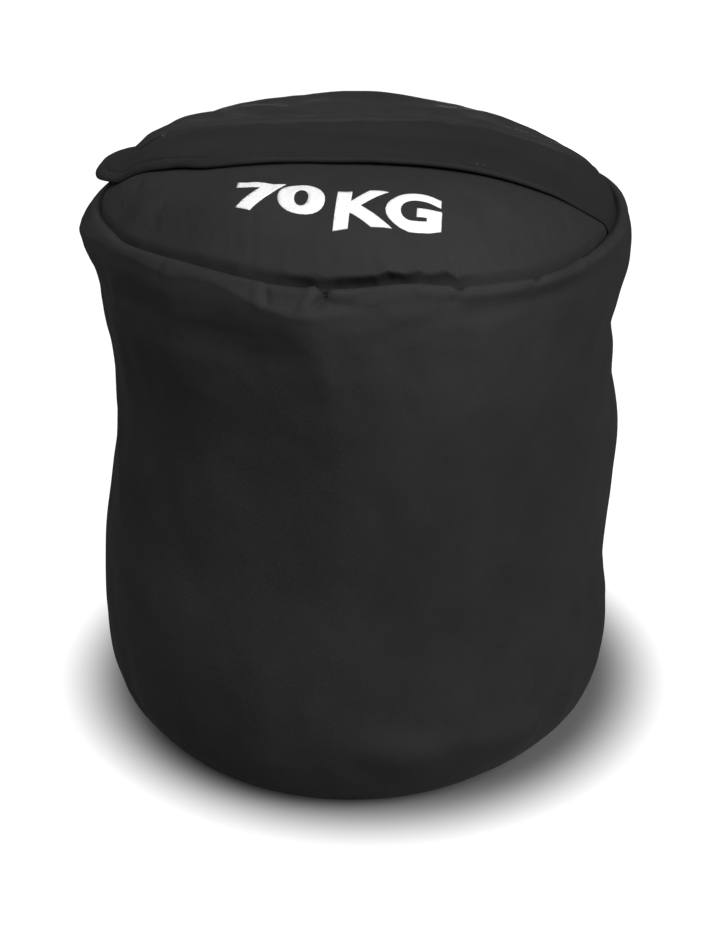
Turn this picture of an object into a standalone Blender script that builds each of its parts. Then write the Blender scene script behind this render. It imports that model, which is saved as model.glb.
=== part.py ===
"""A cylindrical sandbag trainer, filled and standing on its base.

The outer bag is sewn from a wall, a base and a domed top in two parts. A zip closes the slot between
the two parts of the top, and a flap with hook and loop tape covers the zip. An inner liner holds the
sand. The flap runs along X, the weight mark's side faces -Y, and the origin is the middle of the base
on the floor. Sizes are in metres.
"""

import math

import bmesh
import bpy
from mathutils import Vector

# The outer bag: radii are measured inwards from the widest ring, heights up from the floor
BODY_RADIUS = 0.202
WAIST_INSET = 0.0155
RIM_INSET = 0.0025
RIM_SEAM_INSET = 0.0145
BASE_SEAM_INSET = 0.0255
SEAM_HEIGHT = 0.422
WAIST_DROP = 0.110
RIM_DROP = 0.013
RIM_CREST_RISE = 0.0055
BELLY_HEIGHT = 0.087
BASE_SEAM_LIFT = 0.003
BASE_TURN_UP = 0.006
DOME_RISE = 0.055

# Cloth, tape and the seams' allowances
FABRIC_THICKNESS = 0.0016
RIM_ALLOWANCE = 0.016
BASE_ALLOWANCE = 0.013
BINDING_THICKNESS = 0.0010
BINDING_LEG = 0.006
BINDING_GAP = 0.0006
SEAM_TAPE_THICKNESS = 0.0010
SEAM_TAPE_WIDTH = 0.018
SEAM_TAPE_END_GAP = 0.012

# Running and touching clearances
TOUCH_GAP = 0.0003
LAYER_GAP = 0.0006
DRAPE_GAP = 0.0008
OVERRUN = 0.02

# The liner, its neck and the strap round the neck
LINER_THICKNESS = 0.0012
LINER_GAP = 0.0020
LINER_SHOULDER_DROP = 0.032
LINER_FOOT_HEIGHT = 0.034
NECK_ROOM = 0.022
NECK_RADIUS = 0.016
NECK_WAIST_RADIUS = 0.0105
NECK_BUNCH_RADIUS = 0.0145
NECK_SKIRT_WIDTH = 0.008
NECK_HEIGHT = 0.0165
NECK_THICKNESS = 0.0030
STRAP_WIDTH = 0.006
STRAP_THICKNESS = 0.0012

# The flap: its hinge line lies behind the top's middle, and its tongue reaches past the rim
FLAP_SEAM_OFFSET = 0.012
FLAP_DEPTH = 0.106
FLAP_THICKNESS = 0.0015
LINING_THICKNESS = 0.0010
LINING_INSET = 0.003
TONGUE_REACH = 0.0045
TONGUE_LEAVE_INSET = 0.045
FLAP_END_INSET = 0.0075
ZIP_TUNNEL_HEIGHT = 0.0082
ZIP_TUNNEL_HALF_WIDTH = 0.008
ZIP_TUNNEL_SIDE = 0.022
HOOK_THICKNESS = 0.0014
LOOP_THICKNESS = 0.0014
HOOK_TAPE_WIDTH = 0.020
HOOK_TAPE_LENGTH = 0.200
HOOK_TAPE_SHIFT = -0.015
HOOK_TAPE_INSET = 0.007

# The zip: its line lies in front of the flap's seam
ZIP_OFFSET = 0.047
SLOT_HALF_WIDTH = 0.0065
ZIP_END_INSET = 0.0575
TAPE_END_INSET = 0.0155
TAPE_THICKNESS = 0.0009
TAPE_WIDTH = 0.0155
COIL_RADIUS = 0.0011
ROW_SPACING = 0.0024
STOP_LENGTH = 0.004
STOP_HEIGHT = 0.0024
STOP_WIDTH = 0.0074
PLATE_LENGTH = 0.014
PLATE_WIDTH = 0.0094
PLATE_THICKNESS = 0.0010
POST_LENGTH = 0.006
POST_WIDTH = 0.0016
EAR_THICKNESS = 0.0010
EAR_LENGTH = 0.0036
PIN_RADIUS = 0.0008
PIN_OFFSET = 0.0025
EYE_RADIUS = 0.0017
TAB_LENGTH = 0.016
TAB_WIDTH = 0.0060
TAB_THICKNESS = 0.0012
EYE_WIDTH = 0.0042

# Points this near on the axis of a turned shape are one point
MERGE_DISTANCE = 0.00001

# Faces that meet at more than this angle meet at a sharp edge
SHARP_DEGREES = 40

# Counts of steps along each curve
TURN_STEPS = 36
LINER_TURN_STEPS = 28
SMALL_TURN_STEPS = 20
ROLL_STEPS = 5
NECKING_STEPS = 3
SWELLING_STEPS = 4
FOOT_STEPS = 4
FLAP_STEPS_LONG = 26
FLAP_STEPS_ACROSS = 7
TAPE_STEPS_LONG = 22
TAPE_STEPS_BEYOND = 3
ROW_STEPS = 16
ROUND_SIDES = 16

# The dome is flat in the middle and steep at its edge: height falls with this power of the radius
DOME_POWER = 5
LINER_DOME_POWER = 4

# Shares of the dome's radius and of the liner's, where their profiles have a point
DOME_RADIUS_SHARES = (0, 0.3, 0.48, 0.6, 0.7, 0.78, 0.85, 0.91, 0.96, 1)
LINER_RADIUS_SHARES = (0.35, 0.55, 0.72, 0.86, 1)

# The flap's outline: stations along its length, and at each the front and rear edges' distance in
# front of the hinge line, as shares of the depth
FLAP_STATION_SHARES = (0, 0.02, 0.07, 0.16, 0.30, 0.50, 0.70, 0.86, 1)
FLAP_FRONT_SHARES = (0.53, 0.68, 0.79, 0.91, 1, 0.97, 0.83, 0.68, 0.43)
FLAP_REAR_SHARES = (0.37, 0.22, 0.13, 0.06, 0, 0, 0, 0, 0)

# Shares of the flap's width and length where it comes down to its rear seam, its tongue and its sewn end
REAR_FALL_SHARE = 0.70
TONGUE_SHARE = 0.16
SEWN_END_SHARE = 0.09

# Sizes that follow from those above
waist_radius = BODY_RADIUS - WAIST_INSET
rim_radius = BODY_RADIUS - RIM_INSET
rim_seam_radius = BODY_RADIUS - RIM_SEAM_INSET
base_seam_radius = BODY_RADIUS - BASE_SEAM_INSET
rim_height = SEAM_HEIGHT - RIM_DROP
waist_height = SEAM_HEIGHT - WAIST_DROP
crest_height = SEAM_HEIGHT + RIM_CREST_RISE
dome_radius = rim_seam_radius - TOUCH_GAP
crown_height = SEAM_HEIGHT + DOME_RISE
zip_y = FLAP_SEAM_OFFSET - ZIP_OFFSET
tape_stack = LOOP_THICKNESS + HOOK_THICKNESS + DRAPE_GAP + 2 * LAYER_GAP

parts = bpy.data.collections.new("sandbag_trainer")
helpers = bpy.data.collections.new("helpers")


def clear_scene():
    for item in list(bpy.data.objects):
        bpy.data.objects.remove(item, do_unlink=True)
    bpy.context.scene.collection.children.link(parts)
    bpy.context.scene.collection.children.link(helpers)


def material(name, color, roughness, metallic=0.0):
    made = bpy.data.materials.new(name)
    made.use_nodes = True
    shader = made.node_tree.nodes["Principled BSDF"]
    shader.inputs["Base Color"].default_value = (*color, 1.0)
    shader.inputs["Roughness"].default_value = roughness
    shader.inputs["Metallic"].default_value = metallic
    return made


def add_object(name, data, look=None, parent=None):
    """A part, or a helper that only shapes a part where no look is given."""
    made = bpy.data.objects.new(name, data)
    (parts if look else helpers).objects.link(made)
    if look:
        data.materials.append(look)
    else:
        made.hide_render = True
        made.display_type = "WIRE"
    made.parent = parent
    return made


def new_mesh(name, build):
    """A mesh whose shape is what build(bm) adds to an empty one."""
    mesh = bpy.data.meshes.new(name)
    bm = bmesh.new()
    build(bm)
    bm.to_mesh(mesh)
    bm.free()
    return mesh


def smooth(mesh):
    mesh.shade_smooth()
    mesh.set_sharp_from_angle(angle=math.radians(SHARP_DEGREES))


# Outlines of the turned pieces, as (radius, height) points with the outer face on the left


def offset_line(points, distance):
    """The outline moved inwards by a distance, with mitred corners."""
    normals = []
    for (r0, z0), (r1, z1) in zip(points, points[1:]):
        length = math.hypot(r1 - r0, z1 - z0)
        normals.append(((z0 - z1) / length, (r1 - r0) / length))
    moved = []
    for i, (r, z) in enumerate(points):
        before = normals[max(i - 1, 0)]
        after = normals[min(i, len(normals) - 1)]
        mitre = 1 + before[0] * after[0] + before[1] * after[1]
        moved.append(
            (
                r - distance * (before[0] + after[0]) / mitre,
                z - distance * (before[1] + after[1]) / mitre,
            )
        )
    return moved


def eased(start, end, share):
    return start + (end - start) * (1 - math.cos(math.pi * share)) / 2


def side_points():
    """The wall's outer face from the rim's widest ring down to the belly, as a smooth neck and swell."""
    points = [(rim_radius, rim_height)]
    for k in range(1, NECKING_STEPS + 1):
        share = k / NECKING_STEPS
        height = rim_height - (rim_height - waist_height) * share
        points.append((eased(rim_radius, waist_radius, share), height))
    for k in range(1, SWELLING_STEPS + 1):
        share = k / SWELLING_STEPS
        height = waist_height - (waist_height - BELLY_HEIGHT) * share
        points.append((eased(waist_radius, BODY_RADIUS, share), height))
    return points


def foot_points():
    """A quarter of an ellipse from the belly in to the base seam."""
    points = []
    for k in range(1, FOOT_STEPS + 1):
        turn = math.pi / 2 * k / FOOT_STEPS
        points.append(
            (
                base_seam_radius + BASE_SEAM_INSET * math.cos(turn),
                BELLY_HEIGHT - (BELLY_HEIGHT - BASE_SEAM_LIFT) * math.sin(turn),
            )
        )
    return points


def wall_points():
    roll_half_width = (rim_radius - rim_seam_radius) / 2
    points = [(rim_seam_radius, SEAM_HEIGHT - RIM_ALLOWANCE)]
    for k in range(ROLL_STEPS):
        turn = math.pi * (1 - k / ROLL_STEPS)
        points.append(
            (
                rim_seam_radius + roll_half_width * (1 + math.cos(turn)),
                rim_height + (crest_height - rim_height) * math.sin(turn),
            )
        )
    points += side_points() + foot_points()
    points.append((base_seam_radius, BASE_SEAM_LIFT + BASE_ALLOWANCE))
    return points


def dome_height(radius):
    """Height of the top's outer face at a distance from the middle."""
    return SEAM_HEIGHT + DOME_RISE * (1 - (radius / dome_radius) ** DOME_POWER)


def dome_slope(radius):
    """How steeply the top falls at a distance from the middle."""
    return DOME_RISE * DOME_POWER / dome_radius * (radius / dome_radius) ** (DOME_POWER - 1)


def top_points():
    points = [(dome_radius * share, dome_height(dome_radius * share)) for share in DOME_RADIUS_SHARES]
    return points + [(dome_radius, SEAM_HEIGHT - RIM_ALLOWANCE)]


def base_points():
    inner = base_seam_radius - TOUCH_GAP
    return [
        (inner, BASE_SEAM_LIFT + BASE_ALLOWANCE),
        (inner, BASE_SEAM_LIFT + FABRIC_THICKNESS),
        (inner - BASE_TURN_UP, 0),
        (0, 0),
    ]


def binding_radii(seam_radius):
    """Inner and outer radius of a binding that wraps two seam allowances and the gap between them."""
    reach = FABRIC_THICKNESS + BINDING_GAP + BINDING_THICKNESS
    return seam_radius - TOUCH_GAP - reach, seam_radius + reach


def rim_binding_points():
    inner, outer = binding_radii(rim_seam_radius)
    bottom = SEAM_HEIGHT - RIM_ALLOWANCE - BINDING_GAP - BINDING_THICKNESS
    return [(outer, bottom + BINDING_LEG), (outer, bottom), (inner, bottom), (inner, bottom + BINDING_LEG)]


def base_binding_points():
    inner, outer = binding_radii(base_seam_radius)
    top = BASE_SEAM_LIFT + BASE_ALLOWANCE + BINDING_GAP + BINDING_THICKNESS
    return [(inner, top - BINDING_LEG), (inner, top), (outer, top), (outer, top - BINDING_LEG)]


def liner_points():
    """The liner's outer face from its mouth, over its shoulder and down to the middle of the base."""
    side_gap = FABRIC_THICKNESS + SEAM_TAPE_THICKNESS + LINER_GAP
    shoulder = SEAM_HEIGHT - LINER_SHOULDER_DROP
    side = [point for point in offset_line(side_points(), side_gap) if point[1] < shoulder]
    share = (side[0][1] - shoulder) / (side[0][1] - rim_height)
    shoulder_radius = side[0][0] + (rim_radius - side_gap - side[0][0]) * share
    top = crown_height - NECK_ROOM
    points = [(NECK_RADIUS, top)]
    for share in LINER_RADIUS_SHARES:
        fall = (top - shoulder) * share**LINER_DOME_POWER
        points.append((shoulder_radius * share, top - fall))
    points += side
    foot_radius = base_seam_radius + BASE_SEAM_INSET * math.sqrt(
        1 - ((BELLY_HEIGHT - LINER_FOOT_HEIGHT) / (BELLY_HEIGHT - BASE_SEAM_LIFT)) ** 2
    )
    points.append((foot_radius - side_gap, LINER_FOOT_HEIGHT))
    clear_radius = binding_radii(base_seam_radius)[0] - LAYER_GAP
    binding_top = base_binding_points()[1][1]
    floor = FABRIC_THICKNESS + TOUCH_GAP
    points.append((clear_radius, binding_top + LAYER_GAP))
    points.append((clear_radius - BASE_TURN_UP, floor))
    return points + [(0, floor)]


def sand_points():
    inside = offset_line(liner_points(), LINER_THICKNESS + TOUCH_GAP)
    inside[-1] = (0, inside[-1][1])
    return [(0, inside[0][1])] + inside


def seam_tape_points():
    """The wall's inner face from under the rim binding to above the base binding."""
    highest = rim_binding_points()[1][1] - SEAM_TAPE_END_GAP
    lowest = base_binding_points()[1][1] + SEAM_TAPE_END_GAP
    inner = offset_line(side_points() + foot_points(), FABRIC_THICKNESS + LAYER_GAP)
    return [point for point in inner if lowest < point[1] < highest]


def neck_points():
    """The gathered neck: a skirt on the liner, a waist for the strap and a bunch above it."""
    foot = crown_height - NECK_ROOM + TOUCH_GAP
    waist_low = foot + (NECK_HEIGHT - STRAP_WIDTH) / 2
    waist_high = waist_low + STRAP_WIDTH
    return [
        (0, foot + NECK_HEIGHT - NECK_THICKNESS),
        (NECK_WAIST_RADIUS, foot + NECK_HEIGHT),
        (NECK_BUNCH_RADIUS, foot + NECK_HEIGHT - NECK_THICKNESS / 2),
        (NECK_WAIST_RADIUS, waist_high + TOUCH_GAP),
        (NECK_WAIST_RADIUS, waist_low - TOUCH_GAP),
        (NECK_RADIUS + NECK_SKIRT_WIDTH, foot + LINER_THICKNESS),
        (NECK_RADIUS + NECK_SKIRT_WIDTH, foot),
        (0, foot),
    ]


def strap_points():
    foot = crown_height - NECK_ROOM + TOUCH_GAP
    low = foot + (NECK_HEIGHT - STRAP_WIDTH) / 2
    inner = NECK_WAIST_RADIUS + TOUCH_GAP
    return [(inner + STRAP_THICKNESS, low + STRAP_WIDTH), (inner + STRAP_THICKNESS, low)]


def turned(name, points, look, thickness=0.0, steps=TURN_STEPS):
    """A profile turned round the Z axis, given a wall by Solidify unless the profile is a whole solid."""

    def build(bm):
        corners = [bm.verts.new((r, 0, z)) for r, z in points]
        for one, other in zip(corners, corners[1:]):
            bm.edges.new((one, other))

    made = add_object(name, new_mesh(name, build), look)
    screw = made.modifiers.new("turn", "SCREW")
    screw.axis = "Z"
    screw.angle = 2 * math.pi
    screw.steps = steps
    screw.render_steps = steps
    screw.use_merge_vertices = True
    screw.merge_threshold = MERGE_DISTANCE
    if thickness:
        wall = made.modifiers.new("wall", "SOLIDIFY")
        wall.thickness = thickness
        wall.offset = -1
        wall.use_even_offset = True
    return made


def block(name, low, high, look=None, parent=None):
    """A box between two corners."""

    def build(bm):
        bmesh.ops.create_cube(bm, size=1)
        for vert in bm.verts:
            for axis in range(3):
                vert.co[axis] = high[axis] if vert.co[axis] > 0 else low[axis]

    return add_object(name, new_mesh(name, build), look, parent)


def rod(name, start, end, radius, look=None, parent=None):
    """A round bar along Y."""

    length = end[1] - start[1]
    middle = (start[1] + end[1]) / 2

    def build(bm):
        bmesh.ops.create_cone(
            bm, cap_ends=True, segments=ROUND_SIDES, radius1=radius, radius2=radius, depth=length
        )
        for vert in bm.verts:
            vert.co = (start[0] + vert.co.x, middle + vert.co.z, start[2] - vert.co.y)

    mesh = new_mesh(name, build)
    smooth(mesh)
    return add_object(name, mesh, look, parent)


def combine(target, other, operation):
    change = target.modifiers.new(other.name, "BOOLEAN")
    change.operation = operation
    change.object = other
    return target


def sheet(name, steps_long, steps_across, place, look, thickness, side, parent=None):
    """A cloth piece: a grid whose point (u, v) goes to place(u, v), with its wall on one side of it."""
    origin = parent.location if parent else Vector()

    def build(bm):
        bmesh.ops.create_grid(bm, x_segments=steps_long, y_segments=steps_across, size=1)
        for vert in bm.verts:
            vert.co = Vector(place((vert.co.x + 1) / 2, (vert.co.y + 1) / 2)) - origin

    mesh = new_mesh(name, build)
    smooth(mesh)
    made = add_object(name, mesh, look, parent)
    wall = made.modifiers.new("wall", "SOLIDIFY")
    wall.thickness = thickness
    wall.offset = side
    wall.use_even_offset = True
    return made


def between(share, stations, values):
    """The value at a share of the way, on straight runs between the stations."""
    for i in range(len(stations) - 1):
        if share <= stations[i + 1]:
            run = (share - stations[i]) / (stations[i + 1] - stations[i])
            return values[i] + (values[i + 1] - values[i]) * run
    return values[-1]


# The outer bag


def make_outer_bag(cloth, binding, tape):
    turned("wall_panel", wall_points(), cloth, FABRIC_THICKNESS)
    turned("base_panel", base_points(), cloth, FABRIC_THICKNESS)
    turned("rim_seam_binding", rim_binding_points(), binding, BINDING_THICKNESS)
    turned("base_seam_binding", base_binding_points(), binding, BINDING_THICKNESS)

    reach = BODY_RADIUS + OVERRUN
    roof = crown_height + OVERRUN
    front_edge = zip_y - SLOT_HALF_WIDTH
    rear_edge = zip_y + SLOT_HALF_WIDTH
    behind = block("behind_front_panel", (-reach, front_edge, 0), (reach, reach, roof))
    ahead = block("ahead_of_rear_panel", (-reach, -reach, 0), (reach, rear_edge, roof))
    for name, cut in (("top_front_panel", behind), ("top_rear_panel", ahead)):
        panel = turned(name, top_points(), cloth, FABRIC_THICKNESS)
        combine(panel, cut, "DIFFERENCE")

    strip = turned("wall_seam_tape", seam_tape_points(), tape, SEAM_TAPE_THICKNESS)
    half = SEAM_TAPE_WIDTH / 2
    kept = block("seam_tape_run", (-half, 0, 0), (half, reach, roof))
    combine(strip, kept, "INTERSECT")


# The liner and what it holds


def make_liner(liner, strap, sand):
    turned("liner_bag", liner_points(), liner, LINER_THICKNESS, LINER_TURN_STEPS)
    turned("liner_neck", neck_points(), liner, steps=SMALL_TURN_STEPS)
    turned("neck_strap", strap_points(), strap, STRAP_THICKNESS, SMALL_TURN_STEPS)
    turned("sand_fill", sand_points(), sand, steps=LINER_TURN_STEPS)


# The flap over the zip


def flap_x(u):
    left = -(dome_radius + TONGUE_REACH)
    right = dome_radius - FLAP_END_INSET
    return left + (right - left) * u


def flap_share(x):
    return (x - flap_x(0)) / (flap_x(1) - flap_x(0))


def flap_y(u, v):
    front = FLAP_SEAM_OFFSET - FLAP_DEPTH * between(u, FLAP_STATION_SHARES, FLAP_FRONT_SHARES)
    rear = FLAP_SEAM_OFFSET - FLAP_DEPTH * between(u, FLAP_STATION_SHARES, FLAP_REAR_SHARES)
    return front + (rear - front) * v


def draped(x, y, height):
    """A point over (x, y), at a height square to the dome; on the left the tongue runs straight out."""
    radius = math.hypot(x, y)
    leave = radius
    if x < 0:
        leave = min(radius, dome_radius - TONGUE_LEAVE_INSET)
    slope = dome_slope(leave)
    surface = dome_height(leave) - slope * (radius - leave)
    slant = math.hypot(1, slope)
    outward = 1 + height * slope / slant / radius if radius else 1
    return x * outward, y * outward, surface + height / slant


def flap_lift(u, v):
    """How far the lining's underside stands off the dome: more over the zip, less at the rear seam."""
    sewn = min(1.0, u / TONGUE_SHARE)
    beside_zip = max(0.0, abs(flap_y(u, v) - zip_y) - ZIP_TUNNEL_HALF_WIDTH)
    over_zip = max(0.0, 1 - beside_zip / ZIP_TUNNEL_SIDE) * min(sewn, (1 - u) / SEWN_END_SHARE)
    fall = max(0.0, (v - REAR_FALL_SHARE) / (1 - REAR_FALL_SHARE)) * sewn
    base = tape_stack + (DRAPE_GAP - tape_stack) * fall
    return base + (ZIP_TUNNEL_HEIGHT - tape_stack) * over_zip


def make_flap(cloth, hook, loop):
    lining_top = LINING_THICKNESS + LAYER_GAP
    hinge = bpy.data.objects.new("flap_hinge", None)
    helpers.objects.link(hinge)
    hinge.location = (0, FLAP_SEAM_OFFSET, crown_height + DRAPE_GAP + lining_top + FLAP_THICKNESS)
    inset_long = LINING_INSET / (flap_x(1) - flap_x(0))
    inset_across = LINING_INSET / FLAP_DEPTH

    def outer(u, v):
        return draped(flap_x(u), flap_y(u, v), flap_lift(u, v) + lining_top)

    def lining(u, v):
        u = min(max(u, inset_long), 1 - inset_long)
        v = min(max(v, inset_across), 1 - inset_across)
        return draped(flap_x(u), flap_y(u, v), flap_lift(u, v))

    def tape(lift):
        def place(u, v):
            x = HOOK_TAPE_LENGTH * (u - 1 / 2) + HOOK_TAPE_SHIFT
            y = flap_y(flap_share(x), 0) + HOOK_TAPE_INSET + HOOK_TAPE_WIDTH * v
            return draped(x, y, lift)

        return place

    sheet("closure_flap", FLAP_STEPS_LONG, FLAP_STEPS_ACROSS, outer, cloth, FLAP_THICKNESS, 1, hinge)
    sheet("flap_lining", FLAP_STEPS_LONG, FLAP_STEPS_ACROSS, lining, cloth, LINING_THICKNESS, 1, hinge)
    hook_lift = DRAPE_GAP + LOOP_THICKNESS + LAYER_GAP
    sheet("flap_hook_tape", TAPE_STEPS_LONG, 1, tape(hook_lift), hook, HOOK_THICKNESS, 1, hinge)
    sheet("panel_loop_tape", TAPE_STEPS_LONG, 1, tape(DRAPE_GAP), loop, LOOP_THICKNESS, 1)


# The zip, on an arc from end stop to end stop


tape_flat_width = (PLATE_WIDTH - ROW_SPACING) / 2 + LAYER_GAP
tape_bend_y = zip_y - ROW_SPACING / 2 - tape_flat_width


def tape_seat(x):
    """Height of the tapes' upper face where the front one lies against the inside of the top."""
    radius = math.hypot(x, tape_bend_y)
    slant = math.hypot(1, dome_slope(radius))
    return dome_height(radius) - (FABRIC_THICKNESS + DRAPE_GAP) * slant


zip_half_length = dome_radius - ZIP_END_INSET
zip_fall = tape_seat(0) - tape_seat(zip_half_length)
zip_arc_radius = (zip_half_length**2 + zip_fall**2) / (2 * zip_fall)
zip_arc_centre = tape_seat(0) - zip_arc_radius
zip_end_angle = math.asin(zip_half_length / zip_arc_radius)
slider_rest_angle = (STOP_LENGTH + LAYER_GAP + PLATE_LENGTH / 2) / zip_arc_radius - zip_end_angle


def zip_height(x):
    """Height of the tapes' upper face: the arc the slider runs on, then the dome beyond the stops."""
    if abs(x) <= zip_half_length:
        return zip_arc_centre + math.sqrt(zip_arc_radius**2 - x**2)
    return tape_seat(x)


def tape_x(step):
    """The tapes' points: evenly along the arc, and evenly from each of its ends to the tapes' ends."""
    half_length = dome_radius - TAPE_END_INSET
    from_end = min(step, TAPE_STEPS_LONG - step)
    if from_end < TAPE_STEPS_BEYOND:
        x = half_length - (half_length - zip_half_length) * from_end / TAPE_STEPS_BEYOND
        return x if step > from_end else -x
    return zip_half_length * (2 * (step - TAPE_STEPS_BEYOND) / (TAPE_STEPS_LONG - 2 * TAPE_STEPS_BEYOND) - 1)


def make_tapes_and_rows(tape, coil):
    for name, side in (("front", -1), ("rear", 1)):
        inner_edge = zip_y + side * ROW_SPACING / 2

        def place(u, v):
            x = tape_x(round(u * TAPE_STEPS_LONG))
            across = v if side > 0 else 1 - v
            y = inner_edge + side * (0, tape_flat_width, TAPE_WIDTH)[round(2 * across)]
            fall = dome_height(math.hypot(x, y)) - dome_height(math.hypot(x, tape_bend_y))
            return x, y, zip_height(x) + min(0.0, fall)

        sheet("zip_tape_" + name, TAPE_STEPS_LONG, 2, place, tape, TAPE_THICKNESS, -1)

        curve = bpy.data.curves.new("zip_chain_" + name, "CURVE")
        curve.dimensions = "3D"
        curve.bevel_depth = COIL_RADIUS
        curve.bevel_resolution = 2
        curve.use_fill_caps = True
        line = curve.splines.new("POLY")
        line.points.add(ROW_STEPS - 1)
        row_half_length = zip_half_length - STOP_LENGTH - TOUCH_GAP
        for k in range(ROW_STEPS):
            x = row_half_length * (2 * k / (ROW_STEPS - 1) - 1)
            y = inner_edge + side * COIL_RADIUS
            line.points[k].co = (x, y, zip_height(x) + TOUCH_GAP + COIL_RADIUS, 1)
        add_object("zip_chain_" + name, curve, coil)


def arc_frame(name, angle):
    """An empty at the middle of the zip's arc, turned so that its Z points out to a place on the arc."""
    made = bpy.data.objects.new(name, None)
    helpers.objects.link(made)
    made.location = (0, zip_y, zip_arc_centre)
    made.rotation_euler = (0, angle, 0)
    return made


def make_stops(metal):
    half = STOP_LENGTH / 2
    low = zip_arc_radius + TOUCH_GAP
    for name, side in (("left", -1), ("right", 1)):
        frame = arc_frame("stop_frame_" + name, side * (zip_end_angle - half / zip_arc_radius))
        block(
            "zip_stop_" + name,
            (-half, -STOP_WIDTH / 2, low),
            (half, STOP_WIDTH / 2, low + STOP_HEIGHT),
            metal,
            frame,
        )


def make_slider(metal):
    """The slider runs over and under the rows, with its post between them, and holds the tab's pin."""
    frame = arc_frame("slider_axis", slider_rest_angle)
    under = zip_arc_radius - TAPE_THICKNESS - TOUCH_GAP
    over = zip_arc_radius + 2 * COIL_RADIUS + 2 * TOUCH_GAP
    plate_top = over + PLATE_THICKNESS
    half_length = PLATE_LENGTH / 2
    half_width = PLATE_WIDTH / 2
    slider = block(
        "zip_slider", (-half_length, -half_width, over), (half_length, half_width, plate_top), metal, frame
    )
    lower = block(
        "slider_lower_plate",
        (-half_length, -half_width, under - PLATE_THICKNESS),
        (half_length, half_width, under),
        parent=frame,
    )
    inside_plate = PLATE_THICKNESS / 2
    post = block(
        "slider_post",
        (-POST_LENGTH / 2, -POST_WIDTH / 2, under - inside_plate),
        (POST_LENGTH / 2, POST_WIDTH / 2, over + inside_plate),
        parent=frame,
    )
    pin_height = plate_top + TOUCH_GAP + EYE_RADIUS
    ear_inner = EYE_WIDTH / 2 + TOUCH_GAP
    ear_outer = ear_inner + EAR_THICKNESS
    ear_top = pin_height + PIN_RADIUS + TOUCH_GAP
    combine(slider, post, "UNION")
    combine(slider, lower, "UNION")
    for side in (-1, 1):
        ear = block(
            f"slider_ear_{side}",
            (PIN_OFFSET - EAR_LENGTH / 2, min(side * ear_inner, side * ear_outer), over + inside_plate),
            (PIN_OFFSET + EAR_LENGTH / 2, max(side * ear_inner, side * ear_outer), ear_top),
            parent=frame,
        )
        combine(slider, ear, "UNION")
    pin_end = ear_inner + EAR_THICKNESS / 2
    pin = rod(
        "slider_pin",
        (PIN_OFFSET, -pin_end, pin_height),
        (PIN_OFFSET, pin_end, pin_height),
        PIN_RADIUS,
        parent=frame,
    )
    combine(slider, pin, "UNION")

    pivot = bpy.data.objects.new("tab_axis", None)
    helpers.objects.link(pivot)
    pivot.parent = frame
    pivot.location = (PIN_OFFSET, 0, pin_height)
    half_eye = EYE_WIDTH / 2
    tab = rod("zip_pull_tab", (0, -half_eye, 0), (0, half_eye, 0), EYE_RADIUS, metal, pivot)
    neck = block(
        "tab_neck",
        (0, -half_eye, -TAB_THICKNESS / 2),
        (EYE_RADIUS + 2 * TAB_THICKNESS, half_eye, TAB_THICKNESS / 2),
        parent=pivot,
    )
    plate = block(
        "tab_plate",
        (EYE_RADIUS + TAB_THICKNESS, -TAB_WIDTH / 2, -TAB_THICKNESS / 2),
        (TAB_LENGTH, TAB_WIDTH / 2, TAB_THICKNESS / 2),
        parent=pivot,
    )
    bore_end = half_eye + OVERRUN
    bore = rod("tab_bore", (0, -bore_end, 0), (0, bore_end, 0), PIN_RADIUS + TOUCH_GAP, parent=pivot)
    combine(tab, neck, "UNION")
    combine(tab, plate, "UNION")
    combine(tab, bore, "DIFFERENCE")


def main():
    clear_scene()
    cloth = material("black_woven_cloth", (0.022, 0.022, 0.023), 0.75)
    webbing = material("black_webbing", (0.018, 0.018, 0.018), 0.85)
    hook = material("black_hook_tape", (0.02, 0.02, 0.02), 0.6)
    loop = material("black_loop_tape", (0.015, 0.015, 0.015), 0.95)
    coil = material("black_nylon_coil", (0.02, 0.02, 0.02), 0.4)
    metal = material("dark_zip_metal", (0.09, 0.09, 0.09), 0.35, 1.0)
    liner = material("grey_liner_cloth", (0.25, 0.25, 0.24), 0.6)
    sand = material("dry_sand", (0.62, 0.5, 0.34), 0.95)
    make_outer_bag(cloth, webbing, webbing)
    make_liner(liner, webbing, sand)
    make_flap(cloth, hook, loop)
    make_tapes_and_rows(webbing, coil)
    make_stops(metal)
    make_slider(metal)


main()
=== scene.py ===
"""The sandbag's looks: sewn cloth, folds, flap, zip, stitching and print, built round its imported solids.

Lengths are in metres. Azimuths are in degrees from +X, so the front of the bag, with the weight mark,
is at -90 and the camera stands near -76.
"""

import math

import bmesh
import bpy
import numpy as np
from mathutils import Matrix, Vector
from mathutils.bvhtree import BVHTree


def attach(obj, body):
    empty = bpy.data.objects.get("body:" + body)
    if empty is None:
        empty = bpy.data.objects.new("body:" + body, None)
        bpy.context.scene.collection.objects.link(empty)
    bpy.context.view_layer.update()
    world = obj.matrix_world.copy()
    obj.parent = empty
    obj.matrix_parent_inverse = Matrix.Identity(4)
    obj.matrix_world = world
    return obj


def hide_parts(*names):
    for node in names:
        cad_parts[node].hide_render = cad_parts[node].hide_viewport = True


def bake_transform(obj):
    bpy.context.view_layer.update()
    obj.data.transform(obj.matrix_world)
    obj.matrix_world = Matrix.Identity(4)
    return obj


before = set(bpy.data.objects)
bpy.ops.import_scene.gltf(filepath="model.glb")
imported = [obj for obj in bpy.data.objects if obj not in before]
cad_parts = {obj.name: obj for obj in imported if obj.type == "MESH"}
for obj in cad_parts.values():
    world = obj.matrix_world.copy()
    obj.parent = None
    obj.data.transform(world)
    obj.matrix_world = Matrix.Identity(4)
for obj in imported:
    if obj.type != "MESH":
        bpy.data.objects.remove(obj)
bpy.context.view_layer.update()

# The bag's own sizes
SEAM_HEIGHT = 0.424
DOME_RISE = 0.0545
BASE_SEAM_RADIUS = 0.1565
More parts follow.
